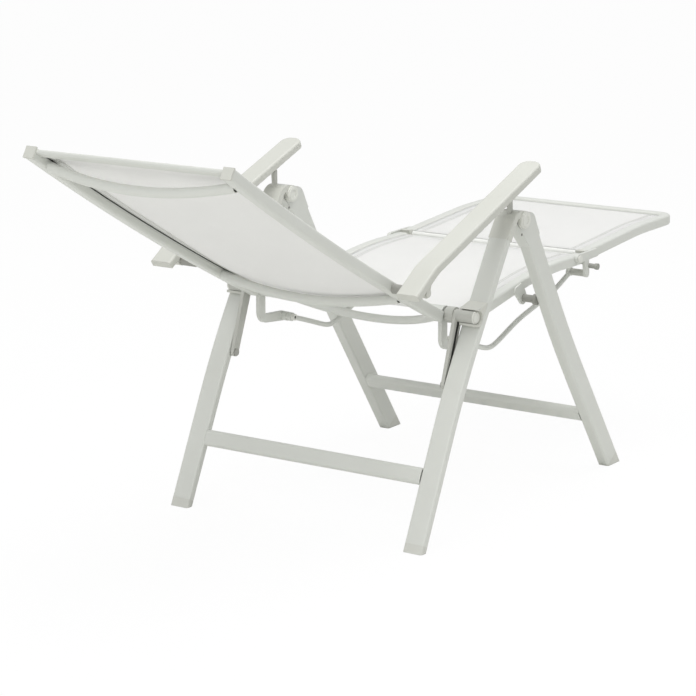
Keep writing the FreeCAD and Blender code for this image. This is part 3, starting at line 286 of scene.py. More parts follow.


# Powder coat shows its orange peel about 2 mm apart.  Moulded nylon and polymer show a grain of
# about 0.5 mm and a broader highlight, plated steel a tighter one in its own grey, and rubber
# hardly any.  Thread and the black of painted shade are dull.  A coating's columns are its name, its
# colour and the deeper one, its roughness, and in millimetres its grain's width, the grain's height and
# its edges' rounding.
FRAME_COAT = Coating("powder_coated_aluminium", "#D9DBD6", "#D2D4CE", 0.36, 1.8, 0.05, 0.8)
CAP_NYLON = Coating("moulded_cap_nylon", "#E4E5DF", "#DDDED7", 0.4, 0.5, 0.02, 0.6)
HEAD_NYLON = Coating("moulded_nylon_light_grey", "#D2D3CC", "#CBCCC4", 0.46, 0.5, 0.03, 0.7)
ARM_POLYMER = Coating("moulded_armrest_polymer", "#CFD0C9", "#C8C9C1", 0.44, 0.6, 0.03, 1.0)
FOOT_NYLON = Coating("moulded_foot_nylon", "#D3D4CE", "#CBCCC5", 0.5, 0.5, 0.03, 1.2)
SLEEVE_NYLON = Coating("moulded_sleeve_nylon", "#C3C4BE", "#BABBB4", 0.42, 0.5, 0.03, 0.5)
BUSH_NYLON = Coating("moulded_bush_nylon_grey", "#9D9D97", "#92928C", 0.48, 0.5, 0.03, 0.5)
CATCH_NYLON = Coating("moulded_catch_nylon", "#8A8A85", "#7F7F79", 0.5, 0.5, 0.03, 0.4)
LINK_STEEL = Coating("coated_link_steel", "#C4C5BF", "#BABBB4", 0.42, 0.9, 0.03, 0.5)
DARK_NYLON = Coating("moulded_nylon_dark_grey", "#4A4A48", "#424240", 0.5, 0.5, 0.03, 0.5)
PLATED_STEEL = Coating("zinc_plated_steel", "#B9B9B4", "#A6A6A2", 0.34, 0.9, 0.01, 0.4, metallic=1.0)
SOFT_RUBBER = Coating("moulded_rubber_grey", "#A5A6A0", "#999A94", 0.7, 0.5, 0.04, 0.6, ior=1.52)
# Black painted shade: for the shade where each sling's edge meets its rail, in the gap beside each link arm,
# and in each rod screw's socket.
SHADE_BLACK = Coating("painted_shade_black", "#232321", "#1D1D1B", 0.6, 0.5, 0.02, 0.2)
# The sling's second colour is painted shade in the gaps of the weave.
SLING_MESH = CoatedMesh("woven_coated_mesh", "#F7F7F6", "#EDEDEA", glow=0.30)
# The doubled hem lets less light through by its lower glow, and its colour is painted darker as painted
# shade.
SHADED_HEM_MESH = CoatedMesh("doubled_mesh_hem_painted_shade", "#EFF0ED", "#E1E2DD", glow=0.14)
ROLL_MESH = Coating("rolled_mesh_hem", "#E9EAE7", "#E2E3DF", 0.55, 1.1, 0.10, 0.2)
STITCH_THREAD = Coating("polyester_thread", "#C4C6BF", "#B9BBB3", 0.6, 0.4, 0.02, 0.1)

SLOT_FINISH = {
    "frame_coat": FRAME_COAT,
    "steel": PLATED_STEEL,
    "head_plastic": HEAD_NYLON,
    "armrest_plastic": ARM_POLYMER,
    "dark_plastic": DARK_NYLON,
    "sling_fabric": SLING_MESH,
    "bumper_rubber": SOFT_RUBBER,
}


@cache
def material_of(finish: Coating | CoatedMesh) -> Material:
    """Returns the material of a finish, made on first use."""
    return finish.build()


def fit_out(piece: Object, finish: Coating | CoatedMesh, body: str) -> Object:
    """Finishes a new piece and lets it ride.

    Args:
        piece: the piece.
        finish: its finish.
        body: the body that it rides on.

    Returns:
        The same piece.
    """
    piece.data.materials.append(material_of(finish))
    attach(piece, body)
    return piece


# ---------------------------------------------------------------- mesh helpers
def mesh_piece(name: str, points: np.ndarray, faces: Faces,
               spots: np.ndarray | None = None) -> Object:
    """Makes a smooth-shaded mesh object at the origin.

    Args:
        name: the piece's name.
        points: one row of x, y, z for each vertex, in metres.
        faces: the vertex numbers round each face.
        spots: a u, v place in metres for each vertex, for finishes laid out on the cloth.

    Returns:
        The new object, linked to the scene.
    """
    mesh = bpy.data.meshes.new(name)
    mesh.from_pydata([tuple(p) for p in points], [], faces)
    if spots is not None:
        layer = mesh.uv_layers.new(name="cloth")
        order = np.array([loop.vertex_index for loop in mesh.loops])
        layer.data.foreach_set("uv", spots[order].astype(np.float32).ravel())
    mesh.shade_smooth()
    mesh.update()
    piece = bpy.data.objects.new(name, mesh)
    bpy.context.scene.collection.objects.link(piece)
    return piece


def belt_outline(rounds: list[Point], step_deg: float = 10.0) -> np.ndarray:
    """Works out a closed outline of straight runs that touch each round in turn, anticlockwise.

    Args:
        rounds: the y, z and radius of each round in millimetres; radius 0 is a sharp corner and
            a negative radius is a hollow one, whose middle lies outside the outline.
        step_deg: the largest turn between two points of a round.

    Returns:
        The outline's points as rows of y and z, in metres.
    """
    count = len(rounds)
    centres = np.array([(y, z) for y, z, _ in rounds], dtype=float)
    radii = np.array([radius for *_, radius in rounds], dtype=float)
    starts, ends = np.zeros((count, 2)), np.zeros((count, 2))
    for i in range(count):
        j = (i + 1) % count
        along = centres[j] - centres[i]
        lean = (radii[i] - radii[j]) / np.linalg.norm(along)
        along /= np.linalg.norm(along)
        normal = np.array([along[1], -along[0]]) * math.sqrt(1 - lean * lean) + along * lean
        ends[i], starts[j] = centres[i] + normal * radii[i], centres[j] + normal * radii[j]
    points = []
    for centre, radius, start, end in zip(centres, radii, starts, ends):
        if radius == 0:
            points.append(centre)
            continue
        first = math.atan2(*(start - centre)[::-1])
        turn = math.atan2(*(end - centre)[::-1]) - first
        turn = turn % (2 * math.pi) if radius > 0 else -((-turn) % (2 * math.pi))
        steps = max(2, math.ceil(abs(math.degrees(turn)) / step_deg))
        for i in range(steps + 1):
            angle = first + turn * i / steps
            points.append(centre + abs(radius) * np.array([math.cos(angle), math.sin(angle)]))
    return np.array(points) * MM


def ring_faces(rings: int, sides: int, closed: bool = False) -> Faces:
    """Joins rings that have as many points each and follow each other in one list.

    Args:
        rings: how many rings there are.
        sides: how many points each has.
        closed: whether the last ring joins the first.

    Returns:
        The four-cornered faces between the rings.
    """
    faces: Faces = []
    for ring in range(rings if closed else rings - 1):
        low, high = ring * sides, (ring + 1) % rings * sides
        faces += [(low + i, low + (i + 1) % sides, high + (i + 1) % sides, high + i) for i in range(sides)]
    return faces


def moulded_plate(name: str, outline: np.ndarray, from_mm: float, to_mm: float) -> Object:
    """Makes a plate of some outline in the side plane, between two stations across the chair.

    Args:
        name: the piece's name.
        outline: rows of y and z in metres, anticlockwise.
        from_mm: the station nearer the right.
        to_mm: the station nearer the left.

    Returns:
        The plate, with sharp edges round both faces.
    """
    count = len(outline)
    points = [(station * MM, y, z) for station in (from_mm, to_mm) for y, z in outline]
    faces = [tuple(range(count))[::-1], tuple(range(count, 2 * count)), *ring_faces(2, count)]
    piece = mesh_piece(name, np.array(points), faces)
    piece.data.set_sharp_from_angle(angle=SHARP_ANGLE)
    return piece


def circle_outline(centre_mm: Pair, radius_mm: float, sides: int = 32) -> np.ndarray:
    """Works out a circle in the side plane, anticlockwise, as rows of y and z in metres."""
    turns = np.linspace(0, 2 * math.pi, sides + 1)[:-1]
    return (np.array(centre_mm) + radius_mm * np.stack([np.cos(turns), np.sin(turns)], axis=1)) * MM


def lofted_rings(name: str, rings: list[np.ndarray], closed: bool = False) -> Object:
    """Makes a closed shell through a row of rings with as many points each.

    Args:
        name: the piece's name.
        rings: each ring as rows of x, y, z in metres.
        closed: whether the last ring joins the first, as round an eye; else both ends are capped.

    Returns:
        The shell, with its faces outwards.
    """
    count, sides = len(rings), len(rings[0])
    faces = ring_faces(count, sides, closed)
    if not closed:
        faces += [tuple(range(sides)), tuple(range((count - 1) * sides, count * sides))]
    piece = mesh_piece(name, np.concatenate(rings), faces)
    shell = bmesh.new()
    shell.from_mesh(piece.data)
    bmesh.ops.recalc_face_normals(shell, faces=shell.faces)
    shell.to_mesh(piece.data)
    shell.free()
    piece.data.set_sharp_from_angle(angle=SHARP_ANGLE)
    return piece


def even_steps(line: np.ndarray, step: float) -> np.ndarray:
    """Resamples a line of points at even steps along its length.

    Args:
        line: the points in order.
        step: the wanted spacing.

    Returns:
        The new points, both ends included.
    """
    lengths = np.concatenate([[0], np.cumsum(np.linalg.norm(np.diff(line, axis=0), axis=1))])
    count = max(2, int(round(lengths[-1] / step)) + 1)
    wanted = np.linspace(0, lengths[-1], count)
    return np.stack([np.interp(wanted, lengths, line[:, i]) for i in range(line.shape[1])], axis=1)


def smooth_line(line: np.ndarray, rounds: int) -> np.ndarray:
    """Averages each inner point with its neighbours a few times, and keeps the ends.

    Args:
        line: the points in order.
        rounds: how many times.

    Returns:
        The same points, smoothed.
    """
    for _ in range(rounds):
        line[1:-1] = (line[:-2] + 2 * line[1:-1] + line[2:]) / 4
    return line


# ---------------------------------------------------------------- stitching
@dataclass(frozen=True)
class StitchRow:
    """A row of lockstitch: short threads laid in line along a seam by Geometry Nodes."""

    pitch_mm: float = 5.0
    stitch_mm: float = 3.6
    thread_mm: float = 0.7
    thread_sides: int = 6
    wander_deg: float = 4.0
    seed: int = 7

    def tree(self, thread: Material) -> NodeTree:
        """Makes the node group that turns a line of points into stitches.

        Args:
            thread: the thread's material.

        Returns:
            The node group, with its sizes as named inputs.
        """
        group = bpy.data.node_groups.new("stitch_row", "GeometryNodeTree")
        sockets = group.interface
        sockets.new_socket("Seam", in_out="INPUT", socket_type="NodeSocketGeometry")
        sizes = {"Pitch": self.pitch_mm * MM, "Stitch Length": self.stitch_mm * MM,
                 "Thread Radius": self.thread_mm * MM / 2, "Wander": math.radians(self.wander_deg)}
        for name, value in sizes.items():
            sockets.new_socket(name, in_out="INPUT", socket_type="NodeSocketFloat").default_value = value
        seed = sockets.new_socket("Seed", in_out="INPUT", socket_type="NodeSocketInt")
        seed.default_value = self.seed
        sockets.new_socket("Stitches", in_out="OUTPUT", socket_type="NodeSocketGeometry")
        given = add_node(group, "NodeGroupInput").outputs
        curve = add_node(group, "GeometryNodeMeshToCurve", {"Mesh": given["Seam"]})
        spaced = add_node(group, "GeometryNodeResampleCurve",
                          {"Curve": curve.outputs["Curve"], "Length": given["Pitch"]}, mode="LENGTH")
        thread_bit = add_node(group, "GeometryNodeMeshCylinder",
                              {"Vertices": self.thread_sides, "Radius": given["Thread Radius"],
                               "Depth": given["Stitch Length"]}, fill_type="TRIANGLE_FAN")
        along = add_node(group, "FunctionNodeAlignRotationToVector",
                         {"Vector": add_node(group, "GeometryNodeInputTangent").outputs["Tangent"]}, axis="Z")
        least = add_node(group, "ShaderNodeMath", {0: given["Wander"], 1: -1.0}, operation="MULTIPLY")
        lean = add_node(group, "FunctionNodeRandomValue",
                        {2: least.outputs[0], 3: given["Wander"], "Seed": given["Seed"]}, data_type="FLOAT")
        tilt = add_node(group, "ShaderNodeCombineXYZ", {"X": lean.outputs[1]})
        turned = add_node(group, "FunctionNodeRotateRotation",
                          {"Rotation": along.outputs["Rotation"], "Rotate By": tilt.outputs["Vector"]},
                          rotation_space="LOCAL")
        laid = add_node(group, "GeometryNodeInstanceOnPoints",
                        {"Points": spaced.outputs["Curve"], "Instance": thread_bit.outputs["Mesh"],
                         "Rotation": turned.outputs["Rotation"]})
        real = add_node(group, "GeometryNodeRealizeInstances", {"Geometry": laid.outputs["Instances"]})
        dressed = add_node(group, "GeometryNodeSetMaterial",
                           {"Geometry": real.outputs["Geometry"], "Material": thread})
        add_node(group, "NodeGroupOutput", {"Stitches": dressed.outputs["Geometry"]})
        return group

    def sew(self, name: str, seams: list[np.ndarray]) -> Object:
        """Sews stitches along some seams.

        Args:
            name: the piece's name.
            seams: each seam as rows of x, y, z.

        Returns:
            The stitches as one plain mesh.
        """
        points = np.concatenate(seams)
        starts = np.cumsum([0] + [len(seam) for seam in seams])
        edges = [(i, i + 1) for a, b in zip(starts, starts[1:]) for i in range(a, b - 1)]
        guide = bpy.data.meshes.new(f"{name}_seams")
        guide.from_pydata([tuple(point) for point in points], edges, [])
        carrier = bpy.data.objects.new(f"{name}_seams", guide)
        bpy.context.scene.collection.objects.link(carrier)
        modifier = carrier.modifiers.new("stitches", "NODES")
        modifier.node_group = self.tree(material_of(STITCH_THREAD))
        graph = bpy.context.evaluated_depsgraph_get()
        mesh = bpy.data.meshes.new_from_object(carrier.evaluated_get(graph))
        carrier.modifiers.remove(modifier)
        bpy.data.objects.remove(carrier)
        piece = bpy.data.objects.new(name, mesh)
        bpy.context.scene.collection.objects.link(piece)
        return piece


# ---------------------------------------------------------------- slings
@dataclass(frozen=True)
class Sling:
    """One stretched panel of fabric, with its side hems, their stitching, and black strips of painted shade
    along its edges.

    It hangs a little hollow between its rails.  A loose end hangs in a low bow as well, which is
    deepest at low_bow_share of the length, has low_bow_end of that depth left at the front end, and
    dies out over low_bow_reach towards the rear.
    """

    node: str
    body: str
    rails: tuple[str, str]
    hollow_mm: float
    cloth_mm: float = 1.1
    hem_mm: float = 24.0
    hem_thick_mm: float = 0.7
    hem_columns: int = 4
    seams_mm: Pair = (17.0, 22.0)
    thread_over_mm: float = 0.1
    under_hem_mm: float = 0.8
    edge_shade_mm: float = 1.5
    edge_shade_inside_mm: float = 0.9
    edge_shade_outside_mm: float = 0.3
    low_bow_mm: float = 0.0
    low_bow_share: float = 0.151
    low_bow_reach: float = 0.42
    low_bow_end: float = 0.25
    roll_mm: float = 0.0
    roll_at_front: bool = True
    roll_sides: int = 20
    step_mm: float = 6.0
    line_rounds: int = 4
    columns: int = 48
    edge_mm: float = 1.0
    upper_rise: float = 0.3

    def half(self) -> float:
        """Returns half the cloth's width in metres, from the node that it stands for."""
        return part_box(self.node)[1].x

    def profile(self) -> np.ndarray:
        """Reads the side view of the node's upper face, along its left edge.

        Returns:
            Points of y and z, from the front of the chair to its rear.
        """
        mesh = FRAME["nodes"][self.node].data
        edge = self.half() - self.edge_mm * MM
        rows = {}
        for face in mesh.polygons:
            if face.normal.z > self.upper_rise:
                for index in face.vertices:
                    spot = mesh.vertices[index].co
                    if spot.x > edge:
                        rows[round(spot.y, 5)] = spot.z
        line = np.array(sorted(rows.items()))
        return smooth_line(even_steps(line, self.step_mm * MM), self.line_rounds)

    def low_bow(self, share: np.ndarray) -> np.ndarray:
        """Works out how much of the low bow is at each place.

        Args:
            share: the places, as shares of the sling's length from its front end.

        Returns:
            The bow's depth there, from 0 to 1.
        """
        rising = self.low_bow_end + (1 - self.low_bow_end) * np.clip(share / self.low_bow_share, 0, 1)
        falling = np.clip((share - self.low_bow_share) / self.low_bow_reach, 0, 1)
        return rising * (0.5 + 0.5 * np.cos(math.pi * falling))

    def surface(self, across: np.ndarray, lift_mm: float) -> tuple[np.ndarray, np.ndarray]:
        """Works out the sheet's points.

        Args:
            across: the stations across the chair.
            lift_mm: how far the points stand above the node's upper face beside the rails.

        Returns:
            The points, row by row from the front, and their u, v places on the cloth.
        """
        line = self.profile()
        slope = np.gradient(line, axis=0)
        slope /= np.linalg.norm(slope, axis=1)[:, None]
        normal = np.stack([-slope[:, 1], slope[:, 0]], axis=1)
        run = np.concatenate([[0], np.cumsum(np.linalg.norm(np.diff(line, axis=0), axis=1))])
        share = run / run[-1]
        ends = np.clip(np.sin(math.pi * share), 0, 1) ** 0.5
        middle = 1 - (across / self.half()) ** 2
        hang = self.hollow_mm * ends + self.low_bow_mm * self.low_bow(share)
        drop = lift_mm * MM - hang[:, None] * MM * middle[None, :]
        y = line[:, 0][:, None] + normal[:, 0][:, None] * drop
        z = line[:, 1][:, None] + normal[:, 1][:, None] * drop
        x = np.broadcast_to(across[None, :], y.shape)
        spots = np.stack([x, np.broadcast_to(run[:, None], y.shape)], axis=-1)
        return np.stack([x, y, z], axis=-1), spots

    def panel(self, name: str, across: np.ndarray, top_mm: float, thick_mm: float) -> Object:
        """Makes a closed thin panel that follows the sling.

        Args:
            name: the piece's name.
            across: the stations across the chair.
            top_mm: how far its upper face stands above the node's upper face.
            thick_mm: its thickness.

        Returns:
            The panel.
        """
        upper, spots = self.surface(across, top_mm)
        lower, _ = self.surface(across, top_mm - thick_mm)
        rows, columns = upper.shape[:2]
        points = np.concatenate([upper.reshape(-1, 3), lower.reshape(-1, 3)])
        places = np.concatenate([spots.reshape(-1, 2), spots.reshape(-1, 2)])
        total = rows * columns
        faces: Faces = []
        for i in range(rows - 1):
            for j in range(columns - 1):
                a, b = i * columns + j, i * columns + j + 1
                c, d = b + columns, a + columns
                faces.append((a, b, c, d))
                faces.append((a + total, d + total, c + total, b + total))
        rim = list(range(columns))
        rim += [i * columns + columns - 1 for i in range(1, rows)]
        rim += [(rows - 1) * columns + j for j in range(columns - 2, -1, -1)]
        rim += [i * columns for i in range(rows - 2, 0, -1)]
        for a, b in zip(rim, rim[1:] + rim[:1]):
            faces.append((b, a, a + total, b + total))
        return mesh_piece(name, points, faces, places)

    def strips(self, label: str, edges_mm: Pair, columns: int, top_mm: float,
               thick_mm: float) -> list[Object]:
        """Makes one strip along each side of the cloth.

        Args:
            label: what the strips are called.
            edges_mm: how far inside the cloth's edge the strip's own two edges lie.
            columns: how many stations it has.
            top_mm: how far its upper face stands above the node's upper face.
            thick_mm: its thickness.

        Returns:
            The left strip and the right one.
        """
        inward = np.linspace(*edges_mm, columns) * MM
        made = []
        for side, sign in SIDES.items():
            across = np.sort(sign * (self.half() - inward))
            made.append(self.panel(f"{self.node}_{label}_{side}", across, top_mm, thick_mm))
        return made

    def seams(self) -> list[np.ndarray]:
        """Works out where the two rows of stitches run on each side, above and below the cloth.

        Returns:
            Each row as points of x, y and z.
        """
        rows = []
        for sign in SIDES.values():
            for inward in self.seams_mm:
                station = np.array([sign * (self.half() - inward * MM)])
                for lift in (self.thread_over_mm, -self.cloth_mm - self.under_hem_mm):
                    rows.append(self.surface(station, lift)[0][1:-1, 0])
        return rows

    def end_roll(self) -> Object:
        """Makes the rolled hem that closes the front or the rear end of the cloth.

        Returns:
            The roll.
        """
        line = self.profile()[::1 if self.roll_at_front else -1]
        out = line[0] - line[2]
        out /= np.linalg.norm(out)
        up = np.array([-out[1], out[0]])
        if up[1] < 0:
            up = -up
        middle = line[0] / MM + (out - up) * self.roll_mm
        outline = circle_outline(tuple(middle), self.roll_mm, self.roll_sides)
        return moulded_plate(f"{self.node}_roll", outline, -self.half() / MM, self.half() / MM)

    def build(self) -> list[Object]:
        """Returns:
            The pieces made.
        """
        half, under = self.half(), -self.cloth_mm - self.under_hem_mm
        sheet = self.panel(f"{self.node}_cloth", np.linspace(-half, half, self.columns), 0, self.cloth_mm)
        hems = self.strips("hem", (self.hem_mm, 0.0), self.hem_columns, -self.cloth_mm, self.hem_thick_mm)
        stitches = StitchRow().sew(f"{self.node}_stitches", self.seams())
        rolls = [self.end_roll()] if self.roll_mm else []
        sewn = [*hems, stitches, *rolls]
        for finish, pieces in ((SLING_MESH, [sheet]), (SHADED_HEM_MESH, hems), (ROLL_MESH, rolls)):
            for piece in pieces:
                fit_out(piece, finish, self.body)
        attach(stitches, self.body)
        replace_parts(sheet, self.node)
        length = float(np.linalg.norm(np.diff(self.profile(), axis=0), axis=1).sum())
        # black strips under each edge are painted shade, where the cloth meets its rail
        edge_shades = self.strips("edge_shade", (self.edge_shade_inside_mm, -self.edge_shade_outside_mm), 2, under, self.edge_shade_mm)
        for edge_shade in edge_shades:
            fit_out(edge_shade, SHADE_BLACK, self.body)
        return [sheet, *sewn, *edge_shades]


# ---------------------------------------------------------------- studio
@dataclass(frozen=True)
class SoftLamp:
    """One soft square lamp: where it hangs, the point it faces, its side in metres and its watts."""

    name: str
    place: Point
    aim: Point
    size: float
    power: float

    def hang(self) -> None:
        """Adds the lamp to the scene."""
        data = bpy.data.lights.new(self.name, "AREA")
        data.size = self.size
        data.energy = self.power
        lamp = bpy.data.objects.new(self.name, data)
        lamp.location = self.place
        lamp.rotation_euler = (Vector(self.aim) - Vector(self.place)).to_track_quat("-Z", "Y").to_euler()
        bpy.context.scene.collection.objects.link(lamp)


@dataclass
class Studio:
    """The pale floor, the soft lights and the camera.

    The camera's angles are in degrees, and its lens and sensor in millimetres.
    """

    eye: Point = (-2.653, 4.043, 1.399)
    yaw: float = 34.15
    pitch: float = 12.92
    lens: float = 130.9
    sensor: float = 36.0
    sight: float = 100.0
    floor_size: float = 60.0
    floor_paint: str = "#F4F4F1"
    world_level: float = 0.60
    shadow: float = 0.05
    lamps: tuple[SoftLamp, ...] = (
        SoftLamp("top_softbox", place=(-0.4, -0.2, 3.4), aim=(0, 0, 0.4), size=2.4, power=58),
        SoftLamp("rear_softbox", place=(-0.5, 4.1, 2.7), aim=(0, 0, 0.2), size=2.0, power=43))

    def camera(self) -> None:
        """Puts the camera where it sees the chair from behind its right side."""
        data = bpy.data.cameras.new("camera")
        data.lens = self.lens
        data.sensor_width = self.sensor
        data.clip_end = self.sight
        camera = bpy.data.objects.new("camera", data)
        camera.location = self.eye
        camera.rotation_euler = (math.radians(90 - self.pitch), 0, math.radians(180 + self.yaw))
        bpy.context.scene.collection.objects.link(camera)
        bpy.context.scene.camera = camera

    def floor(self) -> None:
        """Lays the floor: white to the camera, with the chair's soft shadow on it."""
        half = self.floor_size / 2
        corners = np.array([(-half, -half, 0), (half, -half, 0), (half, half, 0), (-half, half, 0)])
        floor = mesh_piece("floor", corners, [(0, 1, 2, 3)])
        material = bpy.data.materials.new("studio_floor")
        tree = empty_tree(material)
        path = add_node(tree, "ShaderNodeLightPath")
        paint = add_node(tree, "ShaderNodeBsdfDiffuse", {"Color": linear(self.floor_paint)})
        shade = add_node(tree, "ShaderNodeBsdfDiffuse", {"Color": (self.shadow, self.shadow, self.shadow, 1)})
        glow = add_node(tree, "ShaderNodeEmission", {"Color": (1, 1, 1, 1), "Strength": 1 - self.shadow})
        seen = add_node(tree, "ShaderNodeAddShader", {0: shade.outputs[0], 1: glow.outputs[0]})
        mixed = add_node(tree, "ShaderNodeMixShader",
                         {0: path.outputs["Is Camera Ray"], 1: paint.outputs[0], 2: seen.outputs[0]})
        add_node(tree, "ShaderNodeOutputMaterial", {"Surface": mixed.outputs["Shader"]})
        floor.data.materials.append(material)

    def world(self) -> None:
        """Lights the chair softly from all round, with a white background for the camera."""
        world = bpy.data.worlds.new("studio")
        bpy.context.scene.world = world
        tree = empty_tree(world)
        path = add_node(tree, "ShaderNodeLightPath")
        light = add_node(tree, "ShaderNodeBackground", {"Color": (1, 1, 1, 1), "Strength": self.world_level})
        white = add_node(tree, "ShaderNodeBackground", {"Color": (1, 1, 1, 1), "Strength": 1.0})
        seen = add_node(tree, "ShaderNodeMixShader",
                        {0: path.outputs["Is Camera Ray"], 1: light.outputs[0], 2: white.outputs[0]})
        add_node(tree, "ShaderNodeOutputWorld", {"Surface": seen.outputs[0]})

    def build(self) -> None:
        """Sets up the whole studio."""
        bpy.context.scene.view_settings.view_transform = "Standard"
        self.camera()
        self.floor()
        self.world()
        for lamp in self.lamps:
            lamp.hang()


# ---------------------------------------------------------------- the chair
def turned_disc(name: str, place: Point, radius_mm: float, thick_mm: float, dish_mm: float = 0.0,
                edge_mm: float = 0.4, sides: int = 32) -> Object:
    """Makes a round head on an axis across the chair, with a turned edge.

    Args:
        name: the piece's name.
        place: the middle of its back face.
        radius_mm: its radius.
        thick_mm: its thickness, negative towards the right.
        dish_mm: how deep the middle of its face is sunk.
        edge_mm: the width of its turned edge.
        sides: how many sides its outline has; 6 makes a hexagonal socket.

    Returns:
        The head.
    """
    rise, way = abs(thick_mm), math.copysign(1, thick_mm)
    dish_top, dish_floor = 0.45 * radius_mm, 0.40 * radius_mm
    rings = [(radius_mm, 0.0), (radius_mm, rise - edge_mm), (radius_mm - edge_mm, rise),
             (dish_top, rise), (dish_floor, rise - dish_mm)]
    middle = (place[1] / MM, place[2] / MM)
    points = [(place[0] + way * height * MM, y, z) for radius, height in rings
              for y, z in circle_outline(middle, radius, sides)]
    faces = [tuple(range(sides))[::-1], *ring_faces(len(rings), sides),
             tuple(range((len(rings) - 1) * sides, len(rings) * sides))]
    if way < 0:
        faces = [face[::-1] for face in faces]
    piece = mesh_piece(name, np.array(points), faces)
    for polygon in piece.data.polygons:
        polygon.use_smooth = len(polygon.vertices) == 4
    return piece


def dress_node(name: str, finish: Coating | CoatedMesh) -> None:
    """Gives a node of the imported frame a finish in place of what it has.

    Args:
        name: the node's name.
        finish: its new finish.
    """
    materials = FRAME["nodes"][name].data.materials
    materials.clear()
    materials.append(material_of(finish))


@dataclass
class Assembly:
    """One group of the chair: finishes that differ from their slot's, and the pieces made here."""

    finishes: dict[str, Coating] = field(default_factory=dict)
    sling: Sling | None = None

    def pieces(self) -> list[Object]:
        """Makes the pieces that this group adds: by default its sling, if it has one."""
        return self.sling.build() if self.sling else []

    def build(self) -> None:
        """Gives this group's nodes their own finishes and makes its pieces."""
        for name, finish in self.finishes.items():
            dress_node(name, finish)
        for piece in self.pieces():
            log.info("%s: %d faces", piece.name, len(piece.data.polygons))


def pivot_mm(joint: str) -> Pair:
    """Looks up a joint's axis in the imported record.

    Args:
        joint: the joint's name.

    Returns:
        The axis's y and z in millimetres.
    """
    joints = FRAME["record"]["behaviour"]["joints"]
    spot = next(entry["pos_m"] for entry in joints if entry["name"] == joint)
    return spot[1] / MM, spot[2] / MM


@dataclass(frozen=True)
class LegLine:
    """The middle line of a leg's upper run, in the side plane.

    Its y at floor level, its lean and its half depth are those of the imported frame's tube, and top_mm
    is how far up the leg its head begins.
    """

    floor_y_mm: float
    lean_deg: float
    top_mm: float
    half_deep_mm: float

    def point(self, up_mm: float, behind_mm: float = 0.0) -> Pair:
        """Works out a point beside the leg.

        Args:
            up_mm: how far up the leg it is.
            behind_mm: how far behind the middle line.

        Returns:
            The point's y and z in millimetres.
        """
        lean = math.radians(self.lean_deg)
        return (self.floor_y_mm - up_mm * math.sin(lean) + behind_mm * math.cos(lean),
                up_mm * math.cos(lean) + behind_mm * math.sin(lean))


@dataclass(frozen=True)
class ApexJoint:
    """The moulded joint at the top of each pair of legs.

    The front head is a full-depth continuation of its leg, pinned near its rear edge.  The rear
    head curls over it like a cane: two hooked cheeks, and between them a web that carries the
    armrest's catch.  The lobe and the arch are the y and z of their middles, and their radii.
    """

    rear_leg: LegLine = LegLine(floor_y_mm=352.98, lean_deg=31.68, top_mm=630.4, half_deep_mm=8.0)
    front_leg: LegLine = LegLine(floor_y_mm=-399.04, lean_deg=-30.96, top_mm=605.6, half_deep_mm=21.0)
    boss_mm: float = 17.0
    lobe_mm: Point = (-66.0, 553.5, 24.0)
    arch_mm: Point = (-20.0, 556.0, 31.0)
    notch_mm: float = 4.5
    notch_up_mm: float = 676.0
    cheek_mm: float = 6.0
    web_front_mm: float = -14.5
    web_low_mm: float = 558.0
    web_reach_mm: float = 60.0

    def hook(self) -> np.ndarray:
        """Works out a cheek of the rear head.

        Returns:
            Its outline, anticlockwise from the leg's rear edge.
        """
        leg = self.rear_leg
        notch = leg.point(self.notch_up_mm, -leg.half_deep_mm - self.notch_mm)
        return belt_outline([(*leg.point(leg.top_mm, leg.half_deep_mm), 0), self.arch_mm,
                             (*pivot_mm("fold"), self.boss_mm), (*notch, -self.notch_mm),
                             (*leg.point(leg.top_mm, -leg.half_deep_mm), 0)])

    def web(self) -> np.ndarray:
        """Works out the web between the cheeks: the arch, cut off upright at its front face.

        Returns:
            Its outline, anticlockwise from the leg's rear edge.
        """
        leg = self.rear_leg
        y, z, radius = self.arch_mm
        rise = math.sqrt(radius ** 2 - (self.web_front_mm - y) ** 2)
        low_y, low_z = leg.point(leg.top_mm, -leg.half_deep_mm)
        inner_y = low_y - (self.web_low_mm - low_z) * math.tan(math.radians(leg.lean_deg))
        rear = belt_outline([(*leg.point(leg.top_mm, leg.half_deep_mm), 0), self.arch_mm,
                             (y - self.web_reach_mm, z, 0)])
        rear = np.array([spot for spot in rear if spot[0] > self.web_front_mm * MM])
        front = np.array([(self.web_front_mm, z + rise), (self.web_front_mm, self.web_low_mm),
                          (inner_y, self.web_low_mm), (low_y, low_z)]) * MM
        return np.concatenate([rear, front])

    def rear_pieces(self, side: str) -> list[Object]:
        """Makes one rear head.

        Args:
            side: left or right.

        Returns:
            Its two cheeks and the web between them.
        """
        near, far = (corner.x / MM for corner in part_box(f"rear_leg_{side}"))
        spans = {"cheek_right": (self.hook(), near, near + self.cheek_mm),
                 "cheek_left": (self.hook(), far - self.cheek_mm, far),
                 "web": (self.web(), near + self.cheek_mm, far - self.cheek_mm)}
        return [moulded_plate(f"rear_head_{side}_{label}", *span) for label, span in spans.items()]

    def front_piece(self, side: str) -> Object:
        """Makes one front head, with its lobe in front of the boss.

        Args:
            side: left or right.

        Returns:
            The head, as wide as its leg.
        """
        leg = self.front_leg
        outline = belt_outline([(*leg.point(leg.top_mm, leg.half_deep_mm), 0),
                                (*pivot_mm("fold"), self.boss_mm), self.lobe_mm,
                                (*leg.point(leg.top_mm, -leg.half_deep_mm), 0)])
        near, far = (corner.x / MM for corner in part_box(f"front_leg_{side}"))
        return moulded_plate(f"front_head_{side}_shell", outline, near, far)


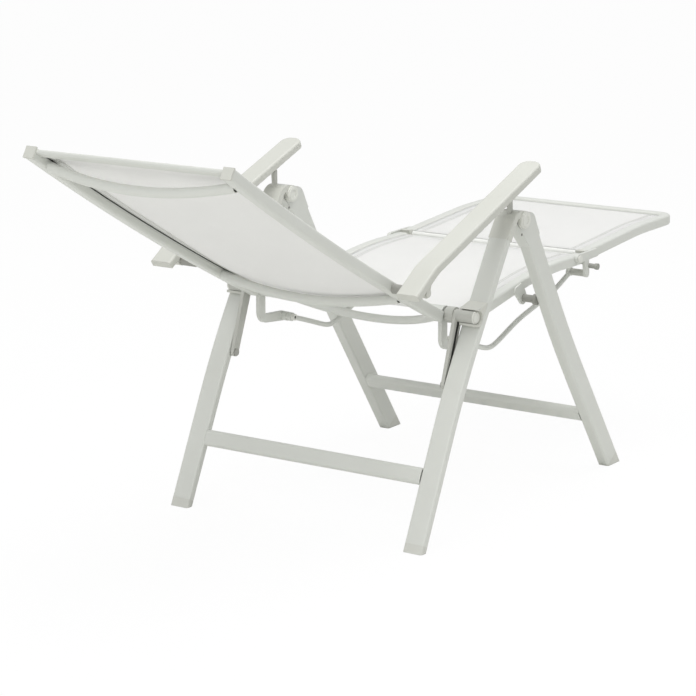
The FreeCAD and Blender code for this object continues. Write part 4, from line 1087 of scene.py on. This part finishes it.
@dataclass
class StandingFrame(Assembly):
    """The two pairs of legs with their heads, caps and feet."""

    body: str = "front_frame"
    finishes: dict[str, Coating] = field(default_factory=lambda: {
        "rear_foot_caps": FOOT_NYLON, "front_foot_caps": FOOT_NYLON, "apex_pins": CAP_NYLON,
        "armrest_catches": SLEEVE_NYLON})
    apex: ApexJoint = ApexJoint()
    screw_mm: Pair = (-37.5, 538.5)
    screw_round_mm: float = 2.6
    screw_rise_mm: float = 0.5
    screw_dish_mm: float = 0.4

    def heads(self, side: str) -> list[Object]:
        """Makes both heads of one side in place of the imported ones.

        Args:
            side: left or right.

        Returns:
            The pieces of the rear head and the front head.
        """
        rear = self.apex.rear_pieces(side)
        for piece in rear:
            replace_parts(fit_out(piece, HEAD_NYLON, "rear_frame"), f"rear_head_{side}")
        front = fit_out(self.apex.front_piece(side), FRAME_COAT, self.body)
        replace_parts(front, f"front_head_{side}")
        return [*rear, front]

    def screws(self, side: str, sign: int) -> list[Object]:
        """Makes the small sunk screws that hold one front head in its leg.

        Args:
            side: left or right.
            sign: the sign of x on that side.

        Returns:
            The outer and the inner screw.
        """
        inner, outer = sorted(abs(corner.x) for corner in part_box(f"front_leg_{side}"))
        made = []
        for face, station, outward in (("outer", outer, 1), ("inner", inner, -1)):
            place = (sign * station, self.screw_mm[0] * MM, self.screw_mm[1] * MM)
            screw = turned_disc(f"head_screw_{face}_{side}", place, self.screw_round_mm,
                                outward * sign * self.screw_rise_mm, self.screw_dish_mm)
            made.append(fit_out(screw, CATCH_NYLON, self.body))
        return made

    def pieces(self) -> list[Object]:
        """Makes the heads and their screws, side by side."""
        return [piece for side, sign in SIDES.items()
                for piece in (*self.heads(side), *self.screws(side, sign))]


@dataclass
class SideLinkage(Assembly):
    """The link arms and the rear axles with their rollers and spacers."""

    body: str = "link_arms"
    finishes: dict[str, Coating] = field(default_factory=lambda: {
        "axle_sleeves": SLEEVE_NYLON, "axle_spacers": SLEEVE_NYLON, "axle_caps": CAP_NYLON,
        "link_arm_left": LINK_STEEL, "link_arm_right": LINK_STEEL})
    shade_strip_mm: float = 1.2
    shade_strip_round_mm: float = 2.6
    shade_strip_short_mm: float = 13.0

    def pieces(self) -> list[Object]:
        """Makes a black strip of painted shade on each link arm, for the shaded gap between it and the rear
        leg.

        Returns:
            Both strips.
        """
        made = []
        axle, pin = np.array(pivot_mm("recline")), np.array(pivot_mm("link_swing"))
        along = (axle - pin) / np.linalg.norm(axle - pin)
        high, low = axle - along * self.shade_strip_short_mm, pin + along * self.shade_strip_short_mm
        outline = belt_outline([(*low, self.shade_strip_round_mm), (*high, self.shade_strip_round_mm)])
        for side, sign in SIDES.items():
            face = max(abs(corner.x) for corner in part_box(f"link_arm_{side}")) / MM
            span = sorted((sign * face, sign * (face + self.shade_strip_mm)))
            # painted shade: a black strip stands for the shaded gap beside the link arm
            strip = moulded_plate(f"link_shade_strip_{side}", outline, *span)
            made.append(fit_out(strip, SHADE_BLACK, self.body))
        return made


@dataclass
class SeatFrame(Assembly):
    """The seat rails, their sling and the seat's pivots."""

    finishes: dict[str, Coating] = field(default_factory=lambda: {
        "seat_pivots": BUSH_NYLON, "knee_pins": CAP_NYLON})
    sling: Sling = Sling("seat_sling", "seat_frame", ("seat_rail_left", "seat_rail_right"),
                         hollow_mm=5.0, roll_mm=5.0)


@dataclass
class Backrest(Assembly):
    """The back rails and bars, and the long sling between them."""

    finishes: dict[str, Coating] = field(default_factory=lambda: {"armrest_pins": HEAD_NYLON})
    sling: Sling = Sling("back_sling", "backrest", ("back_rail_left", "back_rail_right"),
                         hollow_mm=4.0, low_bow_mm=23.0)


@dataclass
class Footrest(Assembly):
    """The footrest frame, its sling, and what joins it to the push rods."""

    finishes: dict[str, Coating] = field(default_factory=lambda: {"lever_pins": SLEEVE_NYLON})
    sling: Sling = Sling("foot_sling", "footrest", ("foot_rail_left", "foot_rail_right"),
                         hollow_mm=3.0, roll_mm=6.5, roll_at_front=False)


@dataclass
class PushRods(Assembly):
    """The bent rods from the cranks to the footrest's levers, and their socket screws.

    Each rod is drawn bar, bent cold round a wide former, so its bends are soft.  It stands for the
    packed rod, whose low bend is tighter.  Each end stops a neck's length from its eye's middle.
    """

    body: str = "push_rods"
    finishes: dict[str, Coating] = field(default_factory=lambda: {"rod_screws": CAP_NYLON})
    bends_mm: tuple[Pair, ...] = (
        (-20.0, 316.5), (-82.0, 295.0), (-190.0, 336.0), (-330.0, 369.0))
    rear_neck_mm: Pair = (-4.0, -1.0)
    front_neck_mm: Pair = (6.0, -4.0)
    bend_rounds: int = 45
    step_mm: float = 4.0
    bar_sides: int = 18
    eye_mm: float = 8.5
    eye_thick_mm: float = 8.0
    bore_mm: float = 3.4
    socket_mm: float = 3.0
    socket_floor_mm: float = 180.0
    socket_rise_mm: float = 2.2
    socket_dish_mm: float = 0.2
    socket_sides: int = 6

    def rod(self, side: str, screw: Pair) -> list[Object]:
        """Makes one rod with its two eyes.

        Args:
            side: left or right.
            screw: the y and z of its screw on the crank, in metres.

        Returns:
            The rod, its eye on the crank and its bored eye on the lever.
        """
        near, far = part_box(f"push_rod_{side}")
        station, radius = (near.x + far.x) / 2, (far.x - near.x) / 2
        pin = pivot_mm("rod_swing")
        rear_end = np.array(screw) / MM + self.rear_neck_mm
        front_end = np.array(pin) + self.front_neck_mm
        line = np.array([rear_end, *self.bends_mm, front_end]) * MM
        line = smooth_line(even_steps(line, self.step_mm * MM), self.bend_rounds)
        way = np.gradient(line, axis=0)
        way /= np.linalg.norm(way, axis=1)[:, None]
        turns = np.linspace(0, 2 * math.pi, self.bar_sides + 1)[:-1]
        rings = [np.stack([station + radius * np.cos(turns), y - dz * radius * np.sin(turns),
                           z + dy * radius * np.sin(turns)], axis=1) for (y, z), (dy, dz) in zip(line, way)]
        half = self.eye_thick_mm / 2
        span = (station / MM - half, station / MM + half)
        bored = []
        for size, face in ((self.eye_mm, 0), (self.eye_mm, 1), (self.bore_mm, 1), (self.bore_mm, 0)):
            outline = circle_outline(pin, size)
            bored.append(np.column_stack([np.full(len(outline), span[face] * MM), outline]))
        rear_eye = circle_outline((screw[0] / MM, screw[1] / MM), self.eye_mm)
        return [lofted_rings(f"push_rod_{side}_bar", rings),
                moulded_plate(f"push_rod_{side}_rear_eye", rear_eye, *span),
                lofted_rings(f"push_rod_{side}_front_eye", bored, closed=True)]

    def pieces(self) -> list[Object]:
        """Makes the rods, and a black hexagon of painted shade for the shaded bottom of each screw's socket.

        Returns:
            Both rods' pieces and both hexagons.
        """
        low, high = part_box("rod_screws")
        screw = ((low.y + high.y) / 2, (low.z + high.z) / 2)
        made = []
        for side, sign in SIDES.items():
            for piece in self.rod(side, screw):
                made.append(fit_out(piece, FRAME_COAT, self.body))
                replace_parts(piece, f"push_rod_{side}")
            # painted shade: the socket's shaded hollow is drawn as a black hexagon
            socket = turned_disc(f"rod_socket_shade_{side}", (sign * self.socket_floor_mm * MM, *screw),
                                 self.socket_mm, -self.socket_rise_mm * sign, self.socket_dish_mm,
                                 sides=self.socket_sides)
            made.append(fit_out(socket, SHADE_BLACK, self.body))
        return made


@dataclass
class Armrests(Assembly):
    """The two armrests, their pivots' bushes and the racks under them."""

    finishes: dict[str, Coating] = field(default_factory=lambda: {
        "armrest_bushes": BUSH_NYLON, "armrest_rack_left": ARM_POLYMER, "armrest_rack_right": ARM_POLYMER})


@dataclass
class Armchair:
    """The whole chair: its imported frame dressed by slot, then group by group."""

    groups: tuple[type[Assembly], ...] = (StandingFrame, SideLinkage, SeatFrame, Backrest, Footrest,
                                          PushRods, Armrests)

    def build(self) -> None:
        """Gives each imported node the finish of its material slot, and builds every group."""
        for part in FRAME["record"]["subparts"]:
            dress_node(part["node"], SLOT_FINISH[part["material_slot"]])
        for group in self.groups:
            group().build()


def main() -> None:
    """Loads the frame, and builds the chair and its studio."""
    logging.basicConfig(level=logging.INFO, format="%(name)s: %(message)s")
    FRAME.update(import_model())
    Studio().build()
    Armchair().build()


if __name__ == "__main__":
    main()
